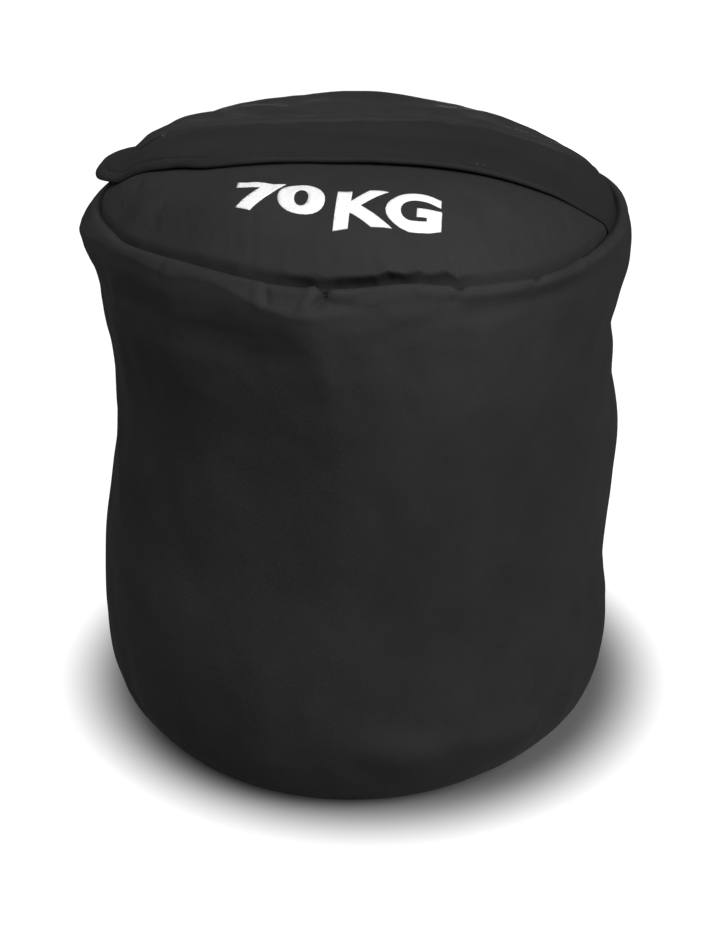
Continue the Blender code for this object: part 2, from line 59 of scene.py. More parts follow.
BASE_SEAM_LIFT = 0.0065
CLOTH_THICKNESS = 0.0016
ZIP_LINE = -0.035
SLOT_HALF_WIDTH = 0.0065

# Distance of the rim seam from the axis, and its rise over the seam's height, by azimuth
SEAM_RADII = (
    (-165, 0.1888), (-151, 0.1862), (-142, 0.185), (-134, 0.1866), (-128, 0.1846), (-118, 0.1822),
    (-108, 0.1824), (-98, 0.1842), (-88, 0.1872), (-76, 0.1878), (-64, 0.1858), (-56, 0.1884),
    (-46, 0.1906), (-34, 0.1932), (-22, 0.1925), (-10, 0.1912), (5, 0.1902), (25, 0.1905),
    (50, 0.1885), (80, 0.187), (110, 0.188), (140, 0.1895), (170, 0.19),
)
SEAM_RISES = (
    (-165, 0.0), (-142, 0.001), (-128, 0.002), (-114, 0.0032), (-100, 0.0018), (-84, -0.0008),
    (-64, 0.0018), (-54, -0.0018), (-34, -0.004), (-16, -0.0022), (0, 0.0), (60, 0.001),
    (120, 0.002), (160, 0.001),
)

# How far the wall rolls out past the seam, and how far the roll's ridge rises over the seam
ROLL_WIDTHS = (
    (-176, 0.01), (-165, 0.0116), (-156, 0.012), (-149, 0.0094), (-140, 0.0062), (-129, 0.0052),
    (-122, 0.0065), (-116, 0.0078), (-110, 0.0058), (-104, 0.006), (-98, 0.0085), (-92, 0.01),
    (-86, 0.0098), (-79, 0.0064), (-70, 0.0036), (-50, 0.003), (-30, 0.0034), (-10, 0.0072),
    (10, 0.0062), (40, 0.006), (60, 0.0052), (120, 0.006), (160, 0.008),
)
ROLL_RISES = (
    (-176, -0.009), (-165, -0.013), (-156, -0.013), (-149, -0.0094), (-140, -0.0054), (-129, -0.0042),
    (-122, -0.006), (-116, -0.0075), (-110, -0.0048), (-104, -0.0052), (-98, -0.0092), (-92, -0.0125),
    (-86, -0.0148), (-79, -0.012), (-70, -0.0058), (-55, -0.004), (-35, -0.0034), (-15, -0.001),
    (5, -0.0006), (30, 0.0004), (60, -0.0012), (120, -0.001), (160, -0.004),
)

# How much of the wall below the ridge hangs from it, and how far down that reaches
HANG_SHARES = (
    (-180, 0.0), (-172, 0.3), (-166, 0.85), (-160, 1.0), (-98, 1.0), (-92, 1.0), (-84, 0.6), (-76, 0.0),
    (-68, 0.0), (-50, 0.0), (0, 0.0), (90, 0.0), (150, 0.0), (170, 0.0),
)
HANG_FADE = 0.042

# Fullness of the lit band between the seam and the roll's ridge
ROLL_ROUNDINGS = (
    (-170, 0.0018), (-130, 0.0012), (-105, 0.0009), (-84, 0.0004), (-70, 0.0002), (-45, 0.0004),
    (-15, 0.0016), (10, 0.0022), (90, 0.0022),
)

# How full the dome is: its height falls off with this power of the distance from the axis
DOME_POWERS = (
    (-165, 4.6), (-150, 4.7), (-130, 5.4), (-110, 6.1), (-90, 6.2), (-40, 5.8), (0, 5.0), (28, 4.3),
    (55, 4.35), (80, 5.0), (100, 5.7), (116, 5.4), (130, 5.2), (155, 5.7), (178, 5.2),
)

# The wall's outline: height, and distance from the axis on the left, at the front and on the right
WALL_OUTLINE = (
    (0.409, 0.1976, 0.193, 0.1996), (0.398, 0.1932, 0.1952, 0.2002), (0.389, 0.1894, 0.1966, 0.1993),
    (0.378, 0.1866, 0.1979, 0.1962), (0.362, 0.1856, 0.1992, 0.1925), (0.346, 0.1844, 0.2, 0.1896),
    (0.328, 0.1812, 0.2006, 0.192), (0.308, 0.1794, 0.2003, 0.1922), (0.284, 0.1794, 0.1995, 0.1962),
    (0.258, 0.1824, 0.1984, 0.2), (0.232, 0.1856, 0.1973, 0.2), (0.205, 0.1888, 0.1965, 0.1986),
    (0.177, 0.1938, 0.1963, 0.197), (0.15, 0.197, 0.1971, 0.1962), (0.124, 0.1994, 0.1986, 0.1986),
    (0.098, 0.1998, 0.2, 0.2022), (0.074, 0.1986, 0.1996, 0.2014), (0.052, 0.194, 0.194, 0.1976),
    (0.03, 0.1834, 0.1814, 0.188), (0.015, 0.17, 0.168, 0.174),
)
HIGH_RIDGE = 0.4105
MEAN_RADIUS = 0.195

# Where the outline on the right counts most, and how wide in cosine the change between the sides is
RIGHT_AZIMUTH = 5
SIDE_TURN = 1.05

# How much the front's outline counts, by azimuth: it starts at the long crease
FRONT_SHARES = (
    (-170, 0.0), (-140, 0.04), (-112, 0.14), (-94, 0.24), (-87, 0.44), (-80, 0.76), (-68, 1.0),
    (-34, 1.0), (-14, 0.45), (4, 0.0), (90, 0.0),
)

# How far along the section the ridge's bend reaches: short where the ridge is a crease
RIDGE_REACHES = (
    (-165, 0.003), (-145, 0.0016), (-110, 0.0012), (-94, 0.0014), (-86, 0.003), (-76, 0.0048),
    (-30, 0.005), (20, 0.005),
)
LONGEST_REACH_SHARE = 0.6

# How far the top's cloth dips into the rim seam, and how ragged the dip is, by azimuth
DIP_DEPTHS = (
    (-170, 0.001), (-130, 0.0011), (-104, 0.0012), (-91, 0.0016), (-79, 0.0022), (-70, 0.0022),
    (-57, 0.0018), (-51, 0.0014), (-40, 0.0012), (-20, 0.0012), (60, 0.0014), (140, 0.0012),
)
DIP_WIDTH = 0.0056
DIP_RUN_SHARES = (-0.2, 1.0)
DIP_RAGGED_FROM = (0.0014, 0.0022)

# The cleft at the seam itself, which is shallower where the cloth is drawn in
CLEFT_DEPTH = 0.0042
CLEFT_WIDTH = 0.0028
CLEFT_START = -0.0006
CLEFT_DRAWN = (0.003, 0.008)
CLEFT_DRAWN_SHARE = 0.6
CLEFT_DIP_SHARE = 0.2
CLEFT_RAGGED_SHARE = 0.3

# The grooves that the cloth turns into at the base and the rim seams, and the gap between its two lips
GROOVE_DEPTH = 0.012
RIM_GROOVE_DEPTH = 0.018
LIP_GAP = 0.0014

# How far in from the rim seam's line the top's cloth is drawn, by azimuth, and the wall's share of that
DRAWN_IN = (
    (-170, 0.0016), (-130, 0.0018), (-104, 0.0022), (-97, 0.003), (-91, 0.0046), (-85, 0.007),
    (-79, 0.0088), (-70, 0.0084), (-63, 0.0066), (-57, 0.0048), (-51, 0.0028), (-44, 0.0022),
    (-20, 0.002), (60, 0.0018), (140, 0.0016),
)
DRAWN_RAGGEDNESS = 0.3
DRAWN_WIDTH = 0.0052
WALL_DRAWN_SHARE = 0.45
TUCK_ROWS = 10
TUCK_END_SHARE = 0.2
TUCK_CLOSES = (0.003, 0.012)

# Small gathers along the rim seam: their height and pitch, how long they are, and where each cloth has them
PUCKER_HEIGHT = 0.0008
PUCKER_PITCH = 0.0115
FINE_PUCKER_PITCH = PUCKER_PITCH / 2.3
FINE_PUCKER_SHARE = 0.2
PUCKER_STRETCH_SHARE = 0.22
PUCKER_SHARES = (0.45, 1.55)
PUCKER_DRAWN = (0.002, 0.007)
WALL_PUCKER_SHARE = 0.8
WALL_PUCKER_PLACE = 0.003
WALL_PUCKER_FADE = 0.006
WALL_PUCKER_RUN = (-0.004, 0.003)
PANEL_PUCKER_PLACE = 0.002
PANEL_PUCKER_FADE = 0.005

# Unevenness of the cloth: size of the lumps, height and seed of each layer
WALL_LUMPS = ((0.11, 0.0016, 3), (0.045, 0.0006, 4))
PANEL_LUMPS = ((0.06, 0.001, 11), (0.025, 0.0004, 12))
DIP_LUMPS = ((0.011, 0.0016, 16),)
DRAWN_LUMPS = ((0.014, 1, 17), (0.006, 0.35, 18))
REAR_GATHERS = ((0.011, 1, 21), (0.0045, 0.5, 22))
FLAP_LUMPS = ((0.075, 0.0009, 31), (0.028, 0.0004, 32))
FLAP_GATHERS = ((0.012, 1, 33), (0.005, 0.5, 35))
STITCH_LUMPS = ((0.006, 0.0006, 34),)
TAPE_LUMPS = ((0.012, 0.0002, 41),)
LINER_LUMPS = ((0.03, 0.0012, 51),)
SAND_LUMPS = ((0.03, 0.001, 52),)
BASE_LUMPS = ((0.01, 0.0012, 61),)
WALL_LUMPS_FADE = 0.05
WALL_FOOT_FADE = 0.04
PANEL_LUMPS_FADE = 0.02

# Every fold's points for each step of its path, where it fades in and out, and how steep a crease is
FOLD_STEPS = 12
FOLD_FADE_SHARES = (0.3, 0.6)
CREASE_STEEPNESS = 1.3

# Folds of the wall: path of (azimuth, height), width, rise and sharpness
WALL_FOLDS = (
    (((-86, 0.42), (-82, 0.395), (-79.5, 0.33), (-78.5, 0.25), (-77.5, 0.12)), 0.026, 0.003, 0.45),
    (((-150, 0.345), (-147, 0.3), (-143, 0.26), (-136, 0.195), (-126, 0.1)), 0.018, 0.004, 0.5),
    (((-158, 0.26), (-153, 0.22), (-147, 0.165), (-138, 0.11)), 0.022, -0.0026, 0.1),
    (((-160, 0.19), (-138, 0.165), (-116, 0.15), (-92, 0.15)), 0.052, 0.005, 0.0),
    (((-93.6, 0.424), (-93.0, 0.418), (-92.5, 0.411)), 0.0028, -0.002, 0.3),
    (((-95.4, 0.4235), (-94.9, 0.418), (-94.6, 0.412)), 0.003, 0.0011, 0.3),
    (((-83.2, 0.424), (-84.6, 0.418), (-86.4, 0.408)), 0.003, 0.0036, 0.7),
    (((-81.2, 0.4235), (-82.4, 0.418), (-84.0, 0.41)), 0.0038, -0.0034, 0.5),
    (((-84, 0.4195), (-79, 0.4155), (-72, 0.415)), 0.0046, -0.0024, 0.2),
    (((-54.8, 0.424), (-55.6, 0.418), (-58.0, 0.412)), 0.004, -0.0018, 0.3),
    (((-36.6, 0.424), (-38.4, 0.418), (-41.5, 0.412)), 0.0036, -0.0016, 0.3),
    (((-24.0, 0.423), (-26.0, 0.417), (-29.0, 0.411)), 0.004, 0.0012, 0.3),
    (((-119, 0.424), (-119.4, 0.418), (-120, 0.412)), 0.004, -0.0013, 0.3),
    (((-9, 0.35), (-14, 0.27), (-18, 0.18), (-20, 0.1)), 0.016, 0.0022, 0.3),
    (((-78, 0.088), (-66, 0.072), (-54, 0.066)), 0.018, 0.0054, 0.1),
    (((-52, 0.08), (-41, 0.066), (-28, 0.062)), 0.018, 0.0042, 0.1),
    (((-14, 0.14), (-30, 0.095), (-46, 0.06)), 0.014, -0.0016, 0.3),
    (((-37, 0.135), (-38.5, 0.112), (-39.5, 0.088)), 0.0042, -0.0013, 0.4),
    (((-33, 0.12), (-35, 0.1), (-36, 0.08)), 0.0036, -0.001, 0.4),
    (((-150, 0.384), (-126, 0.372), (-98, 0.366)), 0.026, 0.0058, 0.0),
    (((-140, 0.37), (-136, 0.29), (-132, 0.2)), 0.018, 0.003, 0.0),
    (((150, 0.38), (138, 0.3), (132, 0.2)), 0.026, 0.0035, 0.3),
    (((95, 0.395), (88, 0.33), (84, 0.24)), 0.02, -0.003, 0.3),
    (((50, 0.39), (44, 0.31), (46, 0.21)), 0.022, 0.0032, 0.3),
    (((118, 0.16), (100, 0.12), (80, 0.11)), 0.02, -0.0026, 0.2),
    (((20, 0.36), (26, 0.28), (22, 0.19)), 0.018, -0.0024, 0.3),
)

# Folds of the front and rear panels: path of (x, y), width, rise and sharpness
FRONT_FOLDS = (
    (((-0.125, -0.128), (-0.085, -0.15), (-0.045, -0.163)), 0.01, -0.0016, 0.2),
    (((-0.15, -0.105), (-0.128, -0.133)), 0.007, -0.0016, 0.2),
)
REAR_FOLDS = (
    (((-0.056, 0.115), (-0.034, 0.118), (-0.01, 0.118), (0.02, 0.114)), 0.015, 0.0022, 0.0),
    (
        ((-0.186, 0.004), (-0.17, 0.021), (-0.156, 0.029), (-0.142, 0.036), (-0.124, 0.047)),
        0.013, 0.0036, 0.0,
    ),
    (((-0.186, 0.01), (-0.173, 0.019), (-0.16, 0.026)), 0.011, 0.0036, 0.0),
)

# The rear panel behind the flap's seam: its swell, sag and gathers, and the seam's dip, step and crease
REAR_SWELL = 0.0042
REAR_SWELL_START = 0.0042
REAR_SWELL_FADE = 0.03
REAR_SAG = 0.0018
REAR_SAG_RUN = 0.05
REAR_SAG_RIM = 0.03
GATHER_SHIFT = 0.0006
GATHER_HEIGHT = 0.0005
GATHER_FADE = 0.007
SEAM_DIP = 0.005
SEAM_DIP_WIDTH = 0.002
SEAM_STEP = 0.001
SEAM_STEP_RUN = (-0.002, 0.004)
SEAM_CREASE = 0.0007
SEAM_CREASE_PLACE = 0.0062
SEAM_CREASE_WIDTH = 0.0011

# Pleats of the front panel that run in from the rim seam: azimuth, width and rise
PLEATS = (
    (-90.0, 0.003, 0.0008), (-83.0, 0.004, 0.0012), (-71.5, 0.003, -0.0008), (-69.0, 0.0024, 0.0012),
    (-65.6, 0.0024, -0.0014), (-62.8, 0.0022, 0.0015), (-60.2, 0.0022, -0.0013), (-57.2, 0.0028, 0.0018),
    (-54.6, 0.0026, -0.0028), (-44.0, 0.0028, -0.0008),
)
PLEAT_SLANT = 2.4
PLEAT_START = 0.006
PLEAT_LENGTH = 0.019
PLEAT_SHARPNESS = 0.4

# The joint between front and rear panel: the azimuths of its ends, and how far back it bends at the right
# one, so that the flap covers it
JOINT_LEFT = -170
JOINT_RIGHT = -5
JOINT_BEND = 0.018
JOINT_BEND_RUN = (0.1456, 0.187)

# The rear panel's least run under the flap and behind the flap's seam, and how its rows crowd there
LEAST_UNDER_FLAP = 0.002
LEAST_BEHIND_FLAP = 0.001
SEAM_CROWDING = 0.13
UNDER_CROWDING = 1.5

# The flap in plan: its front edge, and its rear edge with the sewn seam, both from the tongue's tip
FLAP_FRONT = (
    (-0.189, -0.026), (-0.1885, -0.035), (-0.1835, -0.045), (-0.174, -0.0525), (-0.162, -0.059),
    (-0.14, -0.072), (-0.112, -0.0895), (-0.082, -0.104), (-0.052, -0.105), (-0.026, -0.099),
    (0.0, -0.093), (0.026, -0.0875), (0.0525, -0.084), (0.072, -0.0815), (0.096, -0.0785),
    (0.119, -0.0735), (0.138, -0.0665), (0.157, -0.0555), (0.173, -0.042), (0.1885, -0.022),
)
FLAP_REAR = (
    (-0.189, -0.026), (-0.1875, -0.0165), (-0.182, -0.011), (-0.172, -0.0085), (-0.155, -0.0095),
    (-0.14, -0.014), (-0.122, -0.019), (-0.095, -0.019), (-0.066, -0.0135), (-0.039, -0.0055),
    (0.0, 0.0085), (0.05, 0.0215), (0.081, 0.016), (0.1035, 0.0125), (0.126, 0.01),
    (0.145, 0.016), (0.16, 0.038), (0.171, 0.085),
)
SEWN_FROM_X = -0.14
SEWN_OVERLAP = 0.004

# The tongue lies in a plane: a point of it, its slopes along X and Y, and where the flap turns into it
TONGUE_POINT = (-0.155, -0.0095, 0.4605)
TONGUE_SLOPES = (0.2775, 0.2326)
TONGUE_RUN = (-0.146, -0.172)

# The flap's height over the dome, and its fall into the sewn seam with that seam's gathers
FLAP_LIFT = 0.005
FLAP_FALL = (0.0004, 0.0072)
SEWN_DEPTH = 0.0026
FLAP_GATHER_SHIFT = 0.0012
FLAP_GATHER_HEIGHT = 0.0006
FLAP_GATHER_FADE = 0.01

# Room under the flap along the zip, and for the slider and its tab at rest
ZIP_ROOM = 0.0008
ZIP_ROOM_WIDTH = 0.012
SLIDER_ROOM = 0.0014
SLIDER_ROOM_LENGTH = 0.018
SLIDER_REST_X = -0.104

# The flap's right end: a swell, and then down onto the rim and into its seam
RIGHT_SWELL = 0.0014
RIGHT_SWELL_STARTS = (0.03, 0.1)
RIGHT_SWELL_ENDS = (0.15, 0.175)
RIGHT_END = (0.1, 0.16)
RIM_LAY_WIDTH = 0.03
RIM_LAY_HEIGHT = 0.0032
RIM_TUCK_WIDTH = 0.0045
RIM_TUCK = 0.006

# The flap's edge, its thickness, and the bow of its right end
FLAP_EDGE = 0.0021
FLAP_EDGE_FADE = 0.008
FLAP_INNER_THICKNESS = 0.003
FLAP_BOW = 0.045
FLAP_BOW_SHARES = (0.86, 1.0)
FLAP_EVEN_SHARE = 0.35
FLAP_CROWDING = 1.6
FLAP_WELD = 0.00005

# The flap's topstitching, with the groove that it draws and the hem outside it
STITCH_INSET = 0.008
STITCH_LENGTH = 0.003
STITCH_GAP = 0.0013
STITCH_GROOVE = 0.0017
STITCH_GROOVE_WIDTH = 0.0013
STITCH_PUCKER_WIDTH = 0.005
STITCHED_ENDS = (0.085, 0.125)
STITCHES_START = 0.012
STITCHES_END_X = 0.112
HEM_INSET = 0.0042
HEM_WIDTH = 0.0026
HEM_RISE = 0.0006
THREAD = 0.00042
STITCH_STEPS = 6
STITCH_DIP = 1.4 * THREAD
STITCH_RISE = 0.8 * THREAD

# The zip: its arc along X, as the solids have it
ZIP_ARC_RADIUS = 0.75514
ZIP_ARC_Z = -0.280565
ZIP_HALF_LENGTH = 0.1256
SLOT_SHUT = (0.006, 0.022)
SHUT_GAP = 0.0002

# The coils, and the woven tapes that carry them under the panels' edges
COIL_OFFSET = 0.0023
COIL_RADIUS = 0.0011
COIL_PITCH = 0.0014
COIL_WIRE = 0.00036
COIL_GAP = 0.0003
COIL_TURN_STEPS = 10
TAPE_HALF_LENGTH = 0.17
TAPE_EDGES = (0.0003, 0.0165)
TAPE_DEPTH = 0.0028
TAPE_RISE = 0.0016
TAPE_RISE_RUN = (0.0012, 0.0075)
TAPE_THICKNESS = 0.0006
TAPE_STEPS = (340, 24)

# The hook and loop tapes: their place in plan behind the flap's front edge, grid, edge and tufts
PATCH_PLACE = (-0.114, 0.085, -0.07, -0.05)
PATCH_EDGE_Y = -0.082
PATCH_STEPS = (420, 60)
PATCH_RIM = 0.0016
PATCH_THICKNESS = 0.0009
TUFT_SIZE = 0.0012
TUFT_SHARES = (0.6, 0.4)
LOOP_LIFT = 0.0005
LOOP_PILE = 0.0007
HOOK_GAP = 0.0002
HOOK_PILE = 0.0006

# The weight mark: its two groups, with each one's corners in plan from bottom left anticlockwise
MARKS = (
    ("70", ((-0.045, -0.1508), (0.0184, -0.1575), (0.0135, -0.1291), (-0.0486, -0.1259))),
    ("KG", ((0.0262, -0.1632), (0.0925, -0.141), (0.0878, -0.1138), (0.0218, -0.1322))),
)
MARK_BOLDNESS = 0.044
MARK_LONGEST_EDGE = 0.05
MARK_LIFT = 0.00025
MARK_THICKNESS = 0.0002
MARK_CURVE_STEPS = 6
MARK_CUTS = 4

# The liner and the sand inside: insets from the wall, and their shoulder, crown and foot
LINER_INSET = 0.0062
LINER_THICKNESS = 0.0007
NECK_HOLE = 0.022
SAND_INSET = 0.0092
SAND_PEAK = 0.0006
SHOULDER_DROP = 0.06
CROWN_RADIUS = 0.19
CROWN_ZIP_RUN = (0.034, 0.012)
FILL_FOOT = 0.03
FILL_ROW_RUN = 0.005
FOOT_INSET = 0.006
FILL_ROUND_STEPS = 200
CROWN_ROWS = 60
SIDE_ROWS = 74
CROWN_GROOVE_SHARE = 1.6
CROWN_DRAWN_SHARE = 1.5
CROWN_INSET_SHARE = 0.9
ZIP_INSET_SHARE = 0.75
FOOT_INSET_SHARE = 0.15
FOOT_SHARES_AND_LIFTS = (
    (0.975, 0.018), (0.93, 0.009), (0.88, 0.0045), (0.82, 0.003), (0.5, 0.003), (0.002, 0.003),
)

# The liner's neck: height and radius down it, its pleats' shares and counts, and the strap round it
NECK_PROFILE = (
    (0.4535, 0.026), (0.456, 0.0215), (0.459, 0.015), (0.4615, 0.0108), (0.4637, 0.01),
    (0.466, 0.0112), (0.468, 0.015), (0.47, 0.0195), (0.4712, 0.0225),
)
NECK_RADIUS = 0.02
NECK_STEPS = (240, 40)
NECK_PLEATS = ((0.1, 17), (0.05, 29))
NECK_PLEAT_SHIFT = 0.7
NECK_PLEAT_SHARES = (0.6, 0.8)
NECK_SPREAD = (0.4637, 0.471)
STRAP_SIZE = (0.0014, 0.0052)
STRAP_RADIUS = 0.0124
STRAP_Z = 0.4637

# The bindings inside the rim and base seams, and the tape on the wall's upright seam at the back
BINDING_SIZE = (0.0044, 0.008)
RIM_BINDING_INSET = 0.0036
RIM_BINDING_DROP = 0.003
BASE_BINDING_INSET = 0.0012
BASE_BINDING_RISE = 0.002
SEAM_TAPE_ENDS = (0.377, 0.055)
SEAM_TAPE_TURN = 0.046
SEAM_TAPE_INSET = 0.003
SEAM_TAPE_THICKNESS = 0.001
SEAM_TAPE_STEPS = (160, 18)

# The round base: its edge from the seam to the floor, its flat part, and puckers near the edge
BASE_TUCK_RADIUS = 0.1539
BASE_EDGE = ((0.1543, BASE_SEAM_LIFT), (0.153, 0.0026), (0.148, 0.0004), (0.143, 0.0))
BASE_FLAT = (0.138, 0.002)
BASE_ROUND_STEPS = 360
BASE_FLAT_ROWS = 30
BASE_PUCKER_RADIUS = 0.152
BASE_PUCKER_WIDTH = 0.007

# The cloth simulation: its grid's pitch, frames, pressure, how much too long the cloth is, how far it may
# move, and the widest lumps that are kept
SIM_PITCH = 0.0045
SIM_FRAMES = 20
SIM_PRESSURE = 4.0
SIM_EXCESS = 0.022
SIM_MOVE = 0.003
SIM_WIDEST = 0.055
SIM_FREE_SHARE = 0.25
CLOTH_SETTINGS = {
    "quality": 6,
    "mass": 0.3,
    "tension_stiffness": 20,
    "compression_stiffness": 20,
    "shear_stiffness": 8,
    "bending_stiffness": 0.25,
    "vertex_group_mass": "held",
    "pin_stiffness": 0.6,
    "shrink_min": -SIM_EXCESS,
    "use_pressure": True,
    "uniform_pressure_force": SIM_PRESSURE,
}

# How far the cloth is held: everywhere, and down to and up from distances to its seams and the floor
WALL_HELD_SHARE = 0.12
WALL_HELD_TOP = (0.008, 0.03)
WALL_HELD_FOOT = (0.04, 0.018)
PANEL_HELD_SHARE = 0.15
PANEL_HELD_RIM = (0.003, 0.018)
PANEL_HELD_FLAP = (-0.012, -0.004)

# How much of the wrinkles' height is kept on the wall, with more near its seam and its foot, and on the top
WALL_KEPT_SHARE = 0.17
SEAM_KEPT_SHARE = 0.3
SEAM_KEPT_FADE = 0.05
FOOT_KEPT_SHARE = 0.2
FOOT_KEPT_RUN = (0.14, 0.05)
PANEL_KEPT_SHARE = 0.45

# The woven cloth's noises: scale and detail of each, and how much they do
SLUBS = (420.0, 3.0)
SPOTS = (9.0, 5.0)
BLOTCHES = (38.0, 4.0)
FUZZ = (900.0, 2.0)
SLUB_SHARE = 0.9
WEAVE_RIB_SHARE = 0.5
WEAVE_TINT_SHARE = 0.25
GROOVE_TINT = 0.85
SLUB_TINT_SHARE = 0.34
BLOTCH_TINT_SHARE = 0.3
CLEAN_TINT = 0.68
FUZZ_RELIEF_SHARE = 0.5
SLUB_RELIEF_SHARE = 2.6
WEAVE_OVER_SHARE = 0.35
SPOT_RANGE = (0.3, 0.7)
SPOT_TINTS = (0.86, 1.14)
WORN_RANGE = (0.505, 0.6)
WORN_SHARE = 0.5
FABRIC_SPREAD = 0.06
PLAIN_SPREAD = 0.08
PLAIN_SHARES = (0.75, 1.25)

# The camera: fitted to the rim, the base and both outlines in the photograph, 928 pixels high
CAMERA_PLACE = (0.29866, -1.16808, 0.7981)
CAMERA_AIM = (-0.22048, 0.87133, -0.43837)
FOCAL_PIXELS = 1700
PICTURE_HEIGHT = 928
SENSOR_HEIGHT = 36

# The floor: its grey in the light and for the camera, and the middle and two radii of a shadow painted round
# the bag, where the camera's white glow fades out
FLOOR_GREYS = (0.22, 0.18)
FLOOR_SIZE = 30.0
PAINTED_SHADOW_MIDDLE = (-0.004, 0.045, 0.0)
PAINTED_SHADOW_RADII = (0.193, 0.275)

# The even light, and the lamps: place, size and power
WORLD_STRENGTH = 0.125
LAMP_AIM = (0, 0, 0.3)
LAMPS = (
    ("key", (1.42, -1.12, 1.5), 1.0, 43.5),
    ("fill", (-0.6, -0.75, 1.7), 1.3, 15),
    ("rear", (-0.45, 1.85, 0.15), 0.4, 14),
)

# Grid steps
ROUND_STEPS = 540
WALL_ROWS = 190
ROW_CROWDING = 0.45
PANEL_COLUMNS = 440
PANEL_ROWS = 120
SLOT_ROWS = 30
FLAP_COLUMNS = 420
FLAP_ROWS = 70
LINE_STEPS = 220
CURVE_STEPS = 40
TONGUE_STEPS = 12
TUBE_SIDES = 6
TUBE_WELD = 1e-9
RING_WELD = 1e-7
TUBE_END_SHARE = 0.45
TUBE_REFERENCE = (0.31, 0.17, 0.93)


# Curves through given points, and noise


def through(points, x):
    """Values at x on a smooth curve through (place, value) points."""
    places, values = np.array(points, float).T
    slopes = np.gradient(values, places)
    x = np.clip(x, places[0], places[-1])
    i = np.clip(np.searchsorted(places, x, side="right") - 1, 0, len(places) - 2)
    run = places[i + 1] - places[i]
    t = (x - places[i]) / run
    rise = values[i + 1] - values[i]
    a = slopes[i] * run - rise
    b = rise - slopes[i + 1] * run
    return values[i] + rise * t + t * (1 - t) * (a * (1 - t) + b * t)


def through_rows(places, rows, x):
    """The same for points in plan or in space, one row for each place."""
    return np.stack([through(list(zip(places, column)), x) for column in rows.T], axis=-1)


def around(points, azimuth):
    """Values on a smooth closed curve through (azimuth, value) points."""
    turns = [(a + 360 * k, v) for k in (-1, 0, 1) for a, v in points]
    return through(turns, (azimuth + 180) % 360 - 180)


def smoothstep(low, high, x):
    t = np.clip((x - low) / (high - low), 0, 1)
    return t * t * (3 - 2 * t)


def bell(x, width):
    """1 where x is 0, and fading over a width on both sides."""
    return np.exp(-((x / width) ** 2))


def travelled(line):
    """The distance along a line of points to each of them."""
    return np.concatenate([[0], np.cumsum(np.linalg.norm(np.diff(line, axis=0), axis=1))])


def noise(points, size, seed):
    """Smooth noise from about -1 to 1 at an array of points, with lumps about as wide as size."""
    p = np.asarray(points, float) / size + 57.3 * seed
    base = np.floor(p).astype(np.int64)
    t = p - base
    t = t * t * t * (t * (t * 6 - 15) + 10)
    total = 0
    for corner in range(8):
        offset = np.array([corner & 1, corner >> 1 & 1, corner >> 2 & 1])
        q = base + offset
        # A hash of the corner's place gives its value
        h = (q[..., 0] * 73856093) ^ (q[..., 1] * 19349663) ^ (q[..., 2] * 83492791)
        h = (h * 2654435761 + 1013904223) & 0xFFFFFFFF
        h = (h ^ (h >> 15)) * 2246822519 & 0xFFFFFFFF
        h = (h ^ (h >> 13)) & 0xFFFFFF
        value = h / 0x7FFFFF - 1
        weight = np.prod(np.where(offset == 1, t, 1 - t), axis=-1)
        total = total + weight * value
    return total


def lumps(layers, x, y=0.0, z=0.0):
    """A sum of noises, one for each layer's size, height and seed."""
    place = np.stack(np.broadcast_arrays(x, y, z), axis=-1)
    return sum(noise(place, size, seed) * height for size, height, seed in layers)


# Meshes from grids of points


def round_steps(count):
    """Azimuths in degrees, evenly spaced round the bag."""
    return -180 + 360 * np.arange(count) / count


def turned(r, z, turn):
    """Points at distances r from the axis and at heights z, turned by angles in radians."""
    r, z, turn = np.broadcast_arrays(r, z, turn)
    return np.stack([r * np.cos(turn), r * np.sin(turn), z], axis=-1)


def paired(u, v):
    """Cloth coordinates from two arrays, each spread over the other's direction."""
    return np.stack(np.broadcast_arrays(u, v), axis=-1)


def linked(name, data):
    """A new object in the scene for a mesh, lamp, camera or text."""
    made = bpy.data.objects.new(name, data)
    bpy.context.scene.collection.objects.link(made)
    return made


def thicken(made, thickness, offset=-1):
    """Makes a sheet two-sided: inward where offset is -1, outward where it is 1."""
    shell = made.modifiers.new("cloth", "SOLIDIFY")
    shell.thickness = thickness
    shell.offset = offset


def grid_object(name, points, cloth, closed=False, thickness=0.0, offset=-1):
    """A smooth quad mesh over a grid of points, with cloth coordinates in metres as its UVs.

    A closed grid joins its last column to its first, and has one more column of cloth coordinates.
    """
    rows, columns = points.shape[:2]
    index = np.arange(rows * columns).reshape(rows, columns)
    if closed:
        index = np.concatenate([index, index[:, :1]], axis=1)
    corner = np.arange(rows * index.shape[1]).reshape(rows, -1)

    def quads(grid):
        return np.stack([grid[:-1, :-1], grid[:-1, 1:], grid[1:, 1:], grid[1:, :-1]], axis=-1).reshape(-1, 4)

    mesh = bpy.data.meshes.new(name)
    mesh.from_pydata(points.reshape(-1, 3).tolist(), [], quads(index).tolist())
    layer = mesh.uv_layers.new(name="cloth")
    uv = cloth.reshape(-1, 2)[quads(corner).reshape(-1)]
    layer.data.foreach_set("uv", uv.astype(np.float32).reshape(-1))
    mesh.shade_smooth()
    made = linked(name, mesh)
    if thickness:
        thicken(made, thickness, offset)
    return made


def settle(made, material, body, slot_name, *nodes):
    """Gives a piece its material and body, and hides the solids that it stands for; slot_name is not used.
    """
    made.data.materials.append(material)
    if body:
        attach(made, body)
    if nodes:
        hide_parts(*nodes)
    return made


def weld(made, distance):
    bm = bmesh.new()
    bm.from_mesh(made.data)
    bmesh.ops.remove_doubles(bm, verts=bm.verts, dist=distance)
    bmesh.ops.recalc_face_normals(bm, faces=bm.faces)
    bm.to_mesh(made.data)
    bm.free()
    made.data.shade_smooth()


